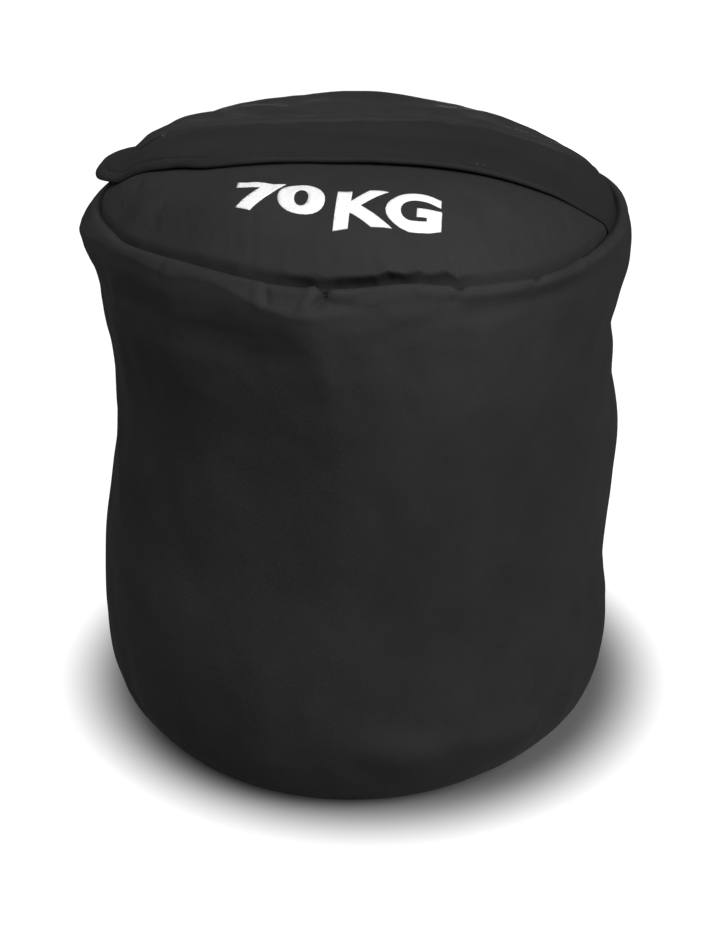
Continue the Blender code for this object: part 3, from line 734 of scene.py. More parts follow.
def normals(points):
    """Unit normals over a grid of points that closes round the bag."""
    across = np.roll(points, -1, axis=1) - np.roll(points, 1, axis=1)
    n = np.cross(np.gradient(points, axis=0), across)
    return n / np.maximum(np.linalg.norm(n, axis=-1, keepdims=True), 1e-9)


def fold(places, path, width, height, sharp=0.0):
    """Height of a fold at an array of (along, up) places: a ridge, or a valley where height is negative.

    It follows the path's points and fades at both ends; sharp is 0 for a soft roll and 1 for a crease.
    """
    path = np.asarray(path, float)
    steps = np.linspace(0, len(path) - 1, FOLD_STEPS * (len(path) - 1) + 1)
    line = through_rows(np.arange(len(path)), path, steps)
    best = np.zeros(places.shape[:-1])
    for k, point in enumerate(line):
        share = k / (len(line) - 1)
        fade = smoothstep(0, FOLD_FADE_SHARES[0], share) * (1 - smoothstep(FOLD_FADE_SHARES[1], 1, share))
        distance = np.hypot(places[..., 0] - point[0], places[..., 1] - point[1]) / width
        soft = bell(distance, 1)
        crease = np.exp(-CREASE_STEEPNESS * distance)
        best = np.maximum(best, (soft + (crease - soft) * sharp) * fade)
    return height * best


# Cloth simulation


def thinned(travel, pitch):
    """Indices along one side of a grid, about a pitch apart, with both ends."""
    picked = np.searchsorted(travel, np.arange(travel[0], travel[-1] - pitch / 2, pitch))
    return np.unique(np.append(picked, len(travel) - 1))


def blurred(field, cells, wraps):
    """A field of vectors with three box blurs along each side of its grid, which keep a constant."""
    half = max(1, int(cells / 2))
    for axis in (0, 1):
        mode = "wrap" if wraps and axis else "edge"
        for _ in range(3):
            width = [(0, 0)] * field.ndim
            width[axis] = (half, half)
            wide = np.pad(field, width, mode=mode)
            total = np.cumsum(np.insert(wide, 0, 0.0, axis=axis), axis=axis)
            ahead = np.take(total, range(2 * half + 1, total.shape[axis]), axis=axis)
            behind = np.take(total, range(0, total.shape[axis] - 2 * half - 1), axis=axis)
            field = (ahead - behind) / (2 * half + 1)
    return field


def spread_along(values, places, wanted, axis):
    """Linear interpolation of a field of vectors along one axis."""
    i = np.clip(np.searchsorted(places, wanted, side="right") - 1, 0, len(places) - 2)
    t = (wanted - places[i]) / (places[i + 1] - places[i])
    shape = [1] * values.ndim
    shape[axis] = len(wanted)
    t = t.reshape(shape)
    return np.take(values, i, axis=axis) * (1 - t) + np.take(values, i + 1, axis=axis) * t


def slackened(points, held, kept, closed=False):
    """The grid's points after a cloth simulation that wrinkles it.

    The cloth is a little too long for its grid and lies under a light pressure. Where held is 1 it stays,
    and where it is less it is drawn back. Only the wrinkles are kept, and not the swelling, and of their
    height only the share kept, which may differ over the grid.
    """
    steps = [np.linalg.norm(np.diff(points, axis=k), axis=-1).mean(axis=1 - k) for k in (0, 1)]
    travels = [np.concatenate([[0], np.cumsum(step)]) for step in steps]
    rows, columns = (thinned(travel, SIM_PITCH) for travel in travels)
    coarse = points[np.ix_(rows, columns)]
    made = grid_object("slack", coarse, np.zeros((len(rows), len(columns) + closed, 2)), closed=closed)
    group = made.vertex_groups.new(name="held")
    for k, weight in enumerate(held[np.ix_(rows, columns)].reshape(-1)):
        group.add([k], float(weight), "REPLACE")
    cloth = made.modifiers.new("cloth", "CLOTH")
    for key, value in CLOTH_SETTINGS.items():
        setattr(cloth.settings, key, value)
    cloth.settings.effector_weights.gravity = 0
    cloth.collision_settings.use_collision = False
    cloth.point_cache.frame_start = 1
    cloth.point_cache.frame_end = SIM_FRAMES
    scene = bpy.context.scene
    for number in range(1, SIM_FRAMES + 1):
        scene.frame_set(number)
    mesh = made.evaluated_get(bpy.context.evaluated_depsgraph_get()).to_mesh()
    after = np.zeros(len(mesh.vertices) * 3, np.float32)
    mesh.vertices.foreach_get("co", after)
    moved = after.reshape(coarse.shape).astype(float) - coarse
    data = made.data
    bpy.data.objects.remove(made)
    bpy.data.meshes.remove(data)
    scene.frame_set(1)
    moved = moved - blurred(moved, SIM_WIDEST / SIM_PITCH, closed)
    length = np.maximum(np.linalg.norm(moved, axis=-1, keepdims=True), 1e-9)
    moved = moved * np.minimum(1, SIM_MOVE / length)
    moved = spread_along(moved, travels[0][rows], travels[0], 0)
    moved = spread_along(moved, travels[1][columns], travels[1], 1)
    moved = blurred(moved, SIM_PITCH / 2 / max(step.mean() for step in steps), closed)
    free = np.clip((1 - held) / SIM_FREE_SHARE, 0, 1)[..., None]
    return points + moved * free * np.broadcast_to(kept, points.shape[:2])[..., None]


# The wall


def seam_radius(azimuth):
    return around(SEAM_RADII, azimuth)


def seam_height(azimuth):
    return SEAM_HEIGHT + around(SEAM_RISES, azimuth)


def outline_radius(azimuth, height):
    """The wall's distance from the axis: each of its outlines where it counts."""
    rows = np.array(WALL_OUTLINE[::-1])
    left, front, right = (through(rows[:, (0, k)], height) for k in (1, 2, 3))
    share = smoothstep(-SIDE_TURN, SIDE_TURN, np.cos(np.radians(azimuth - RIGHT_AZIMUTH)))
    side = left + (right - left) * share
    return side + (front - side) * around(FRONT_SHARES, azimuth)


def hung_radius(azimuth, height):
    """The outline with the hang below the ridge."""
    ridge_z = seam_height(azimuth) + around(ROLL_RISES, azimuth)
    ridge = seam_radius(azimuth) + around(ROLL_WIDTHS, azimuth)
    hung = (ridge - outline_radius(azimuth, ridge_z)) * around(HANG_SHARES, azimuth)
    return outline_radius(azimuth, height) + hung * np.exp(np.minimum(height - ridge_z, 0) / HANG_FADE)


def toward(start, end, distance):
    """The point at a distance from start on the way to end."""
    run = math.hypot(end[0] - start[0], end[1] - start[1])
    share = min(LONGEST_REACH_SHARE, distance / run)
    return start[0] + (end[0] - start[0]) * share, start[1] + (end[1] - start[1]) * share


def wall_section(azimuth):
    """The wall's outer face at one azimuth, from inside the rim seam down to inside the base seam."""
    width, rise, rounding, drawn, reach = (
        float(around(table, azimuth))
        for table in (ROLL_WIDTHS, ROLL_RISES, ROLL_ROUNDINGS, DRAWN_IN, RIDGE_REACHES)
    )
    seam = float(seam_radius(azimuth))
    top = float(seam_height(azimuth))
    ridge = (seam + width, top + rise)
    inset = drawn * WALL_DRAWN_SHARE
    lip = (seam + LIP_GAP / 2, top - LIP_GAP / 2)
    middle = ((lip[0] + ridge[0]) / 2, (lip[1] + ridge[1]) / 2 + rounding)
    first = 2 if ridge[1] < HIGH_RIDGE else 1
    shoulder_z = (ridge[1] + WALL_OUTLINE[first][0]) / 2
    shoulder = (float(hung_radius(azimuth, shoulder_z)), shoulder_z)
    points = [(seam - inset, top - RIM_GROOVE_DEPTH), (seam - inset, top - 2 * inset), lip, middle]
    points += [toward(ridge, middle, reach), ridge, toward(ridge, shoulder, reach), shoulder]
    points += [(float(hung_radius(azimuth, row[0])), row[0]) for row in WALL_OUTLINE[first:]]
    points.append((BASE_SEAM_RADIUS, BASE_SEAM_LIFT))
    points.append((BASE_SEAM_RADIUS - LIP_GAP, BASE_SEAM_LIFT + GROOVE_DEPTH))
    return np.array(points)


def crowded(share):
    """Shares that crowd towards 0."""
    return ROW_CROWDING * share + (1 - ROW_CROWDING) * share**2


def sample_section(points):
    """Points along a section that crowd towards its top, and their distances along it."""
    travel = travelled(points)
    places = travel[-1] * crowded(np.linspace(0, 1, WALL_ROWS))
    return through_rows(travel, points, places), places


def wall_grid():
    """The wall's outer face, and each point's place on the cloth: azimuth, and metres down."""
    azimuths = round_steps(ROUND_STEPS)
    sections, travels = zip(*(sample_section(wall_section(a)) for a in azimuths))
    section = np.stack(sections, axis=1)
    points = turned(section[..., 0], section[..., 1], np.radians(azimuths))
    return points, np.broadcast_to(azimuths, points.shape[:2]), np.stack(travels, axis=1)


def folds_on(azimuth, height, table):
    places = paired(np.radians(azimuth) * MEAN_RADIUS, height)
    total = np.zeros(places.shape[:-1])
    for path, width, rise, sharp in table:
        path = [(math.radians(a) * MEAN_RADIUS, z) for a, z in path]
        total += fold(places, path, width, rise, sharp)
    return total


def seam_puckers(azimuth, away, seed):
    """Small gathers square to the rim seam, deepest where the seam is drawn in most."""
    layers = ((PUCKER_PITCH, 1, seed), (FINE_PUCKER_PITCH, FINE_PUCKER_SHARE, seed + 1))
    drawn = PUCKER_SHARES[0] + PUCKER_SHARES[1] * smoothstep(*PUCKER_DRAWN, around(DRAWN_IN, azimuth))
    along = np.radians(azimuth) * MEAN_RADIUS
    return lumps(layers, along, away * PUCKER_STRETCH_SHARE) * drawn * PUCKER_HEIGHT


def make_wall(material):
    points, azimuth, travel = wall_grid()
    out = normals(points)
    from_seam = travel - RIM_GROOVE_DEPTH
    push = lumps(WALL_LUMPS, *np.moveaxis(points, -1, 0)) * smoothstep(0, WALL_LUMPS_FADE, travel)
    pucker = WALL_PUCKER_SHARE * seam_puckers(azimuth, from_seam, 5)
    pucker = pucker * np.exp(-np.abs(from_seam - WALL_PUCKER_PLACE) / WALL_PUCKER_FADE)
    push = push + pucker * smoothstep(*WALL_PUCKER_RUN, from_seam)
    push = push + folds_on(azimuth, points[..., 2], WALL_FOLDS)
    foot = smoothstep(0, WALL_FOOT_FADE, points[..., 2] - BASE_SEAM_LIFT)
    points = points + out * (push * foot)[..., None]
    held = WALL_HELD_SHARE + (1 - WALL_HELD_SHARE) * (1 - smoothstep(*WALL_HELD_TOP, from_seam))
    held = np.maximum(held, smoothstep(*WALL_HELD_FOOT, points[..., 2]))
    kept = WALL_KEPT_SHARE + SEAM_KEPT_SHARE * np.exp(-np.clip(from_seam, 0, None) / SEAM_KEPT_FADE)
    kept = kept + FOOT_KEPT_SHARE * smoothstep(*FOOT_KEPT_RUN, points[..., 2])
    points = slackened(points, held, kept, closed=True)
    round_run = np.radians(np.append(azimuth[0], azimuth[0, 0] + 360)) * MEAN_RADIUS
    uv = paired(round_run, -np.concatenate([travel, travel[:, :1]], axis=1))
    made = grid_object("outer_wall", points, uv, closed=True, thickness=CLOTH_THICKNESS)
    return settle(made, material, "bag", "outer_cloth", "wall_panel")


# The domed top


def dome_height(x, y):
    azimuth = np.degrees(np.arctan2(y, x))
    share = np.hypot(x, y) / seam_radius(azimuth)
    full = np.clip(share, 0, None) ** around(DOME_POWERS, azimuth)
    return SEAM_HEIGHT + DOME_RISE * (1 - full) + around(SEAM_RISES, azimuth) * share**3


def seam_inset(x, y):
    """Distance inward from the rim seam."""
    return seam_radius(np.degrees(np.arctan2(y, x))) - np.hypot(x, y)


def panel_height(x, y, folds):
    """Height of the top's cloth: the dome with its unevenness, puckers along the seam, and folds."""
    inward = seam_inset(x, y)
    azimuth = np.degrees(np.arctan2(y, x))
    lift = lumps(PANEL_LUMPS, x, y) * smoothstep(0, PANEL_LUMPS_FADE, inward)
    near_rim = np.exp(-np.abs(inward - PANEL_PUCKER_PLACE) / PANEL_PUCKER_FADE)
    lift = lift + seam_puckers(azimuth, inward, 15) * near_rim
    deep = around(DIP_DEPTHS, azimuth)
    ragged = lumps(DIP_LUMPS, x, y) * smoothstep(*DIP_RAGGED_FROM, deep)
    lift = lift - deep * (1 - smoothstep(*DIP_RUN_SHARES, (inward + ragged) / DIP_WIDTH))
    drawn = smoothstep(*CLEFT_DRAWN, around(DRAWN_IN, azimuth))
    cleft = CLEFT_DEPTH * (1 - CLEFT_DRAWN_SHARE * drawn) + CLEFT_DIP_SHARE * deep
    lift = lift - cleft * (1 - smoothstep(CLEFT_START, CLEFT_WIDTH, inward + CLEFT_RAGGED_SHARE * ragged))
    plan = paired(x, y)
    for path, width, rise, sharp in folds:
        lift = lift + fold(plan, path, width, rise, sharp)
    return dome_height(x, y) + lift


def pleat_path(azimuth):
    """A pleat's path in plan, from just outside the rim seam inward."""
    seam = float(seam_radius(azimuth)) + PLEAT_START
    path = []
    for share in (0, 0.5, 1):
        turn = math.radians(azimuth + PLEAT_SLANT * (0.5 - share))
        r = seam - PLEAT_LENGTH * share
        path.append((r * math.cos(turn), r * math.sin(turn)))
    return path


def front_height(x, y):
    pleats = tuple((pleat_path(azimuth), width, rise, PLEAT_SHARPNESS) for azimuth, width, rise in PLEATS)
    return panel_height(x, y, FRONT_FOLDS + pleats)


def rear_height(x, y):
    """The rear panel: it stands up behind the flap's seam, and dips where the seam pulls it down."""
    away, behind = beside(x, y, SEWN_LINE)
    gather = lumps(REAR_GATHERS, x)
    rise = smoothstep(0, REAR_SWELL_START, behind + GATHER_SHIFT * gather)
    rise = rise * np.exp(-np.clip(behind, 0, None) / REAR_SWELL_FADE)
    dip = SEAM_DIP * bell(away, SEAM_DIP_WIDTH) + SEAM_STEP * (1 - smoothstep(*SEAM_STEP_RUN, behind))
    crease = SEAM_CREASE * bell(behind - SEAM_CREASE_PLACE, SEAM_CREASE_WIDTH)
    pucker = gather * GATHER_HEIGHT * np.exp(-away / GATHER_FADE)
    sag = REAR_SAG * smoothstep(0, REAR_SAG_RUN, behind) * smoothstep(0, REAR_SAG_RIM, seam_inset(x, y))
    return panel_height(x, y, REAR_FOLDS) + REAR_SWELL * rise - dip - crease + pucker - sag


def drawn_in(azimuth):
    """How far the seam draws the top's cloth in, with its raggedness."""
    ragged = lumps(DRAWN_LUMPS, np.radians(azimuth) * MEAN_RADIUS)
    return around(DRAWN_IN, azimuth) * (1 + DRAWN_RAGGEDNESS * ragged)


def panel_grid(side, height):
    """A part of the top: lines of constant x from the rim seam to the zip's slot, which shuts at its ends.

    side is -1 for the front and 1 for the rear. The first rows turn down into the seam.
    """
    left = math.degrees(math.asin(ZIP_LINE / float(seam_radius(JOINT_LEFT))))
    right = math.degrees(math.asin((ZIP_LINE + JOINT_BEND) / float(seam_radius(JOINT_RIGHT))))
    azimuth = np.linspace(180 * side - left, right, PANEL_COLUMNS)
    seam = seam_radius(azimuth)
    x = seam * np.cos(np.radians(azimuth))
    seam_y = seam * np.sin(np.radians(azimuth))
    shut = smoothstep(*SLOT_SHUT, np.abs(x) - ZIP_HALF_LENGTH)
    edge_y = ZIP_LINE + side * (SLOT_HALF_WIDTH - (SLOT_HALF_WIDTH - SHUT_GAP) * shut)
    edge_y = edge_y + JOINT_BEND * smoothstep(*JOINT_BEND_RUN, x)
    share = np.linspace(0, 1, PANEL_ROWS)[:, None]
    if side < 0:
        y = seam_y + (edge_y - seam_y) * crowded(share)
    else:
        sewn_y = np.clip(np.interp(x, *REAR_LINE.T), edge_y + LEAST_UNDER_FLAP, seam_y - LEAST_BEHIND_FLAP)
        beyond = seam_y + (sewn_y - seam_y) * (share - SEAM_CROWDING * np.sin(2 * np.pi * share))
        under = sewn_y + (edge_y - sewn_y) * np.linspace(0, 1, SLOT_ROWS)[1:, None] ** UNDER_CROWDING
        y = np.concatenate([beyond, under])
    x = np.broadcast_to(x, y.shape)
    z = height(x, y)
    pull = drawn_in(np.broadcast_to(azimuth, y.shape))
    drawn = 1 - pull * (1 - smoothstep(0, DRAWN_WIDTH, seam_inset(x, y))) / np.hypot(x, y)
    x, y = x * drawn, y * drawn
    tucked = []
    edge = seam - pull[0] - LIP_GAP / 4
    closed = seam - around(DRAWN_IN, azimuth) * WALL_DRAWN_SHARE - LIP_GAP / 4
    for depth in RIM_GROOVE_DEPTH * np.linspace(1, TUCK_END_SHARE, TUCK_ROWS) ** 2:
        inner = (edge + (closed - edge) * smoothstep(*TUCK_CLOSES, depth)) / np.hypot(x[0], y[0])
        tucked.append(np.stack([x[0] * inner, y[0] * inner, z[0] - depth], axis=-1))
    return np.concatenate([np.stack(tucked), np.stack([x, y, z], axis=-1)])


def cloth_run(points, side):
    """A panel's cloth coordinates: x, and the run of cloth from the zip's slot."""
    steps = np.hypot(np.diff(points[..., 1], axis=0), np.diff(points[..., 2], axis=0))
    run = np.concatenate([np.cumsum(steps[::-1], axis=0)[::-1], np.zeros_like(steps[:1])])
    return paired(points[..., 0], points[-1:, :, 1] + side * run)


def front_edge(x):
    """The flap's front edge: its y for each x, behind the tongue."""
    return np.interp(x, *FRONT_LINE[TONGUE_STEPS:].T)


def make_panel(name, side, height, node, material):
    points = panel_grid(side, height)
    x, y = points[..., 0], points[..., 1]
    flap_edge = np.interp(x, *REAR_LINE.T) if side > 0 else front_edge(x)
    held = PANEL_HELD_SHARE + (1 - PANEL_HELD_SHARE) * (1 - smoothstep(*PANEL_HELD_RIM, seam_inset(x, y)))
    held = np.maximum(held, smoothstep(*PANEL_HELD_FLAP, (flap_edge - y) * side))
    points = slackened(points, held, PANEL_KEPT_SHARE)
    made = grid_object(name, points, cloth_run(points, side), thickness=CLOTH_THICKNESS)
    return settle(made, material, "bag", "outer_cloth", node)


# The flap


def curve(points, count):
    """Evenly spaced points on a smooth curve through given points."""
    points = np.asarray(points, float)
    travel = travelled(points)
    line = through_rows(travel, points, np.linspace(0, travel[-1], CURVE_STEPS * len(points)))
    steps = travelled(line)
    places = np.linspace(0, steps[-1], count)
    return np.stack([np.interp(places, steps, column) for column in line.T], axis=-1)


def beside(x, y, line):
    """Distance from a polyline in plan, and the same with a sign: positive on its left side."""
    start, end = line[:-1], line[1:]
    run = end - start
    length = np.maximum((run**2).sum(-1), 1e-12)
    best = np.full(np.shape(x), np.inf)
    signed = np.full(np.shape(x), np.inf)
    for a, d, l in zip(start, run, length):
        t = np.clip(((x - a[0]) * d[0] + (y - a[1]) * d[1]) / l, 0, 1)
        gap_x = x - a[0] - t * d[0]
        gap_y = y - a[1] - t * d[1]
        gap = np.hypot(gap_x, gap_y)
        side = np.where(d[0] * gap_y - d[1] * gap_x >= 0, 1, -1)
        nearer = gap < best
        signed = np.where(nearer, gap * side, signed)
        best = np.where(nearer, gap, best)
    return best, signed


FRONT_LINE = curve(FLAP_FRONT, LINE_STEPS)
REAR_LINE = curve(FLAP_REAR, LINE_STEPS)
SEWN_LINE = REAR_LINE[REAR_LINE[:, 0] > SEWN_FROM_X]
FREE_LINE = np.concatenate([REAR_LINE[REAR_LINE[:, 0] <= SEWN_FROM_X + SEWN_OVERLAP][::-1], FRONT_LINE[1:]])


def flap_height(x, y):
    """The flap's upper face, without the rounding at its edge."""
    free, _ = beside(x, y, FREE_LINE)
    sewn, _ = beside(x, y, SEWN_LINE)
    rim = seam_inset(x, y)
    lift = FLAP_LIFT + lumps(FLAP_LUMPS, x, y)
    over_slider = SLIDER_ROOM * bell(x - SLIDER_REST_X, SLIDER_ROOM_LENGTH)
    lift = lift + (ZIP_ROOM + over_slider) * bell(y - ZIP_LINE, ZIP_ROOM_WIDTH)
    gather = lumps(FLAP_GATHERS, x)
    fall = 1 - smoothstep(*FLAP_FALL, sewn + FLAP_GATHER_SHIFT * gather)
    lift = lift - fall * (FLAP_LIFT + SEWN_DEPTH)
    lift = lift + gather * FLAP_GATHER_HEIGHT * np.exp(-sewn / FLAP_GATHER_FADE)
    lift = lift + RIGHT_SWELL * smoothstep(*RIGHT_SWELL_STARTS, x) * (1 - smoothstep(*RIGHT_SWELL_ENDS, x))
    right = smoothstep(*RIGHT_END, x)
    lift = lift - right * (1 - smoothstep(0, RIM_LAY_WIDTH, rim)) * (FLAP_LIFT - RIM_LAY_HEIGHT)
    lift = lift - right * (1 - smoothstep(0, RIM_TUCK_WIDTH, rim)) * RIM_TUCK
    groove = bell(free - STITCH_INSET, STITCH_GROOVE_WIDTH) * STITCH_GROOVE
    hem = bell(free - HEM_INSET, HEM_WIDTH) * HEM_RISE
    pucker = lumps(STITCH_LUMPS, x, y) * bell(free - STITCH_INSET, STITCH_PUCKER_WIDTH)
    stitched = 1 - smoothstep(*STITCHED_ENDS, x)
    laid = dome_height(x, y) + lift
    tip_x, tip_y, tip_z = TONGUE_POINT
    held = tip_z + TONGUE_SLOPES[0] * (x - tip_x) + TONGUE_SLOPES[1] * (y - tip_y)
    return laid + (held - laid) * smoothstep(*TONGUE_RUN, x) + (hem + pucker - groove) * stitched


def make_flap(material):
    """A closed pillow of two cloth layers: an upper and a lower face that meet in a rounded edge."""
    along = np.linspace(0, 1, FLAP_COLUMNS)
    along = FLAP_EVEN_SHARE * along + (1 - FLAP_EVEN_SHARE) * along**FLAP_CROWDING
    across = 0.5 - 0.5 * np.cos(np.pi * np.linspace(0, 1, FLAP_ROWS))
    every = np.linspace(0, 1, LINE_STEPS)
    front, rear = (
        np.stack([np.interp(along, every, column) for column in line.T], axis=-1)
        for line in (FRONT_LINE, REAR_LINE)
    )
    plan = front[None] + (rear - front)[None] * across[:, None, None]
    swell = (4 * across * (1 - across))[:, None] * smoothstep(*FLAP_BOW_SHARES, along)[None]
    plan = plan * (1 + FLAP_BOW * swell)[..., None]
    x, y = plan[..., 0], plan[..., 1]
    edge, _ = beside(x, y, np.concatenate([REAR_LINE[::-1], FRONT_LINE[1:], plan[:, -1][1:]]))
    rounding = FLAP_EDGE - np.sqrt(np.clip(FLAP_EDGE**2 - np.clip(FLAP_EDGE - edge, 0, None) ** 2, 0, None))
    top = flap_height(x, y)
    thick = FLAP_INNER_THICKNESS + (2 * FLAP_EDGE - FLAP_INNER_THICKNESS) * bell(edge, FLAP_EDGE_FADE)
    upper = np.stack([x, y, top - rounding], axis=-1)
    lower = np.stack([x, y, top - thick + np.minimum(rounding, thick / 2)], axis=-1)
    made = grid_object("flap", upper[::-1], plan[::-1].copy())
    under = grid_object("flap_under", lower, plan.copy())
    with bpy.context.temp_override(active_object=made, selected_editable_objects=[made, under]):
        bpy.ops.object.join()
    weld(made, FLAP_WELD)
    settle(made, material, None, "outer_cloth", "closure_flap", "flap_lining")
    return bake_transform(made)


# Thread, coils and other tubes


def tube(name, lines, radius):
    """Round closed tubes along lists of points, as one mesh."""
    vertices, faces = [], []
    turn = np.linspace(0, 2 * np.pi, TUBE_SIDES, endpoint=False)[None, :, None]
    for line in lines:
        ahead = np.gradient(line, axis=0)
        ahead /= np.linalg.norm(ahead, axis=1, keepdims=True)
        side = np.cross(ahead, TUBE_REFERENCE)
        side /= np.linalg.norm(side, axis=1, keepdims=True)
        up = np.cross(side, ahead)
        ring = np.cos(turn) * side[:, None] + np.sin(turn) * up[:, None]
        shape = np.full(len(line), radius)
        shape[[0, -1]] *= TUBE_END_SHARE
        first = len(vertices)
        vertices.extend((line[:, None] + ring * shape[:, None, None]).reshape(-1, 3).tolist())
        last = first + (len(line) - 1) * TUBE_SIDES
        for row in range(first, last, TUBE_SIDES):
            for k in range(TUBE_SIDES):
                a = row + k
                b = row + (k + 1) % TUBE_SIDES
                faces.append((a, a + TUBE_SIDES, b + TUBE_SIDES, b))
        faces.append(tuple(range(first + TUBE_SIDES - 1, first - 1, -1)))
        faces.append(tuple(range(last, last + TUBE_SIDES)))
    mesh = bpy.data.meshes.new(name)
    mesh.from_pydata(vertices, [], faces)
    made = linked(name, mesh)
    weld(made, TUBE_WELD)
    return made


def make_stitches(material):
    """Single stitches along the flap's free edge, from behind the tongue to where the seam line ends."""
    line = FREE_LINE[FREE_LINE[:, 0] < STITCHES_END_X]
    run = np.gradient(line, axis=0)
    run /= np.linalg.norm(run, axis=1, keepdims=True)
    inner = line + np.stack([-run[:, 1], run[:, 0]], axis=-1) * STITCH_INSET
    travel = travelled(inner)
    share = np.linspace(0, 1, STITCH_STEPS)
    dip = STITCH_DIP * (2 * share - 1) ** 4
    lines = []
    for start in np.arange(STITCHES_START, travel[-1] - STITCH_LENGTH, STITCH_LENGTH + STITCH_GAP):
        x, y = (np.interp(start + share * STITCH_LENGTH, travel, column) for column in inner.T)
        lines.append(np.stack([x, y, flap_height(x, y) + STITCH_RISE - dip], axis=-1))
    return settle(tube("flap_stitches", lines, THREAD), material, "flap", "webbing")


def zip_z(x, rise=0.0):
    return ZIP_ARC_Z + np.sqrt((ZIP_ARC_RADIUS + rise) ** 2 - x**2)


def make_coil(side, node, material):
    """One row of the zip: a coil wound along the arc, beside the slot's middle."""
    turns = int(2 * ZIP_HALF_LENGTH / COIL_PITCH)
    t = np.linspace(0, 1, turns * COIL_TURN_STEPS + 1)
    x = (2 * t - 1) * ZIP_HALF_LENGTH
    turn = 2 * np.pi * turns * t
    y = ZIP_LINE + side * COIL_OFFSET + (COIL_RADIUS - COIL_WIRE) * np.cos(turn)
    z = zip_z(x, COIL_RADIUS + COIL_GAP) + (COIL_RADIUS - COIL_WIRE) * np.sin(turn)
    made = tube(node.replace("chain", "coil"), [np.stack([x, y, z], axis=-1)], COIL_WIRE)
    return settle(made, material, "bag", "zip_coil", node)


def make_zip_tape(side, node, material):
    """A woven tape under the panel's edge, with the coil on its inner edge."""
    x = np.linspace(-TAPE_HALF_LENGTH, TAPE_HALF_LENGTH, TAPE_STEPS[0])[None]
    y = ZIP_LINE + side * np.linspace(*TAPE_EDGES, TAPE_STEPS[1])[:, None]
    x, y = np.broadcast_arrays(x, y)
    under = dome_height(x, y) - CLOTH_THICKNESS - TAPE_DEPTH
    edge = 1 - smoothstep(*TAPE_RISE_RUN, np.abs(y - ZIP_LINE))
    z = np.minimum(zip_z(x), under + TAPE_RISE * edge) + lumps(TAPE_LUMPS, x, y)
    points = np.stack([x, y, z], axis=-1)[::side]
    made = grid_object(node + "_cloth", points, points[..., :2].copy(), thickness=TAPE_THICKNESS)
    return settle(made, material, "bag", "webbing", node)


# The weight mark


def make_mark(body, corners, under, material):
    """Plain printed characters, laid on the front panel, whose tree of faces is under."""
    name = "weight_mark_" + body
    text = bpy.data.curves.new(name, "FONT")
    text.body = body
    text.offset = MARK_BOLDNESS
    text.resolution_u = MARK_CURVE_STEPS
    source = linked(name + "_text", text)
    flat = bpy.data.meshes.new_from_object(source.evaluated_get(bpy.context.evaluated_depsgraph_get()))
    bpy.data.objects.remove(source)
    bm = bmesh.new()
    bm.from_mesh(flat)
    bmesh.ops.triangulate(bm, faces=bm.faces)
    for _ in range(MARK_CUTS):
        long_edges = [e for e in bm.edges if e.calc_length() > MARK_LONGEST_EDGE]
        bmesh.ops.subdivide_edges(bm, edges=long_edges, cuts=1)
        bmesh.ops.triangulate(bm, faces=[f for f in bm.faces if len(f.verts) > 3])
    at = np.array([v.co[:2] for v in bm.verts])
    at = (at - at.min(0)) / (at.max(0) - at.min(0))
    u, v = at[:, :1], at[:, 1:]
    low_left, low_right, high_right, high_left = np.array(corners)
    plan = (1 - v) * ((1 - u) * low_left + u * low_right) + v * ((1 - u) * high_left + u * high_right)
    for vertex, (x, y) in zip(bm.verts, plan):
        hit, _, _, _ = under.ray_cast((x, y, 1), (0, 0, -1))
        vertex.co = (x, y, hit.z + MARK_LIFT)
    bmesh.ops.recalc_face_normals(bm, faces=bm.faces)
    if sum(f.normal.z for f in bm.faces) < 0:
        bmesh.ops.reverse_faces(bm, faces=bm.faces)
    mesh = bpy.data.meshes.new(name)
    bm.to_mesh(mesh)
    bm.free()
    mesh.shade_smooth()
    made = linked(name, mesh)
    thicken(made, MARK_THICKNESS)
    return settle(made, material, "bag", "outer_cloth")


# Inside the bag


def ring_loft(name, section, radius, height):
    """A ring round the axis: section is (out, up) points, radius and height are numbers or go by azimuth."""
    azimuths = round_steps(ROUND_STEPS // 2)
    section = np.asarray(section + section[:1])
    places = [where(azimuths) if callable(where) else where for where in (radius, height)]
    points = turned(places[0] + section[:, :1], places[1] + section[:, 1:], np.radians(azimuths))
    run = np.radians(np.append(azimuths, 180)) * MEAN_RADIUS
    made = grid_object(name, points, paired(run, travelled(section)[:, None]), closed=True)
    weld(made, RING_WELD)
    return made


def rounded_box(width, height, corner_share=0.35, count=5):
    """Points of a small rounded rectangle, clockwise from its top right."""
    points = []
    r = corner_share * min(width, height)
    for cx, cy, start in ((1, 1, 90), (1, -1, 0), (-1, -1, -90), (-1, 1, -180)):
        for k in range(count):
            a = math.radians(start - 90 * k / (count - 1))
            x = cx * (width / 2 - r) + r * math.cos(a)
            y = cy * (height / 2 - r) + r * math.sin(a)
            points.append((x, y))
    return points


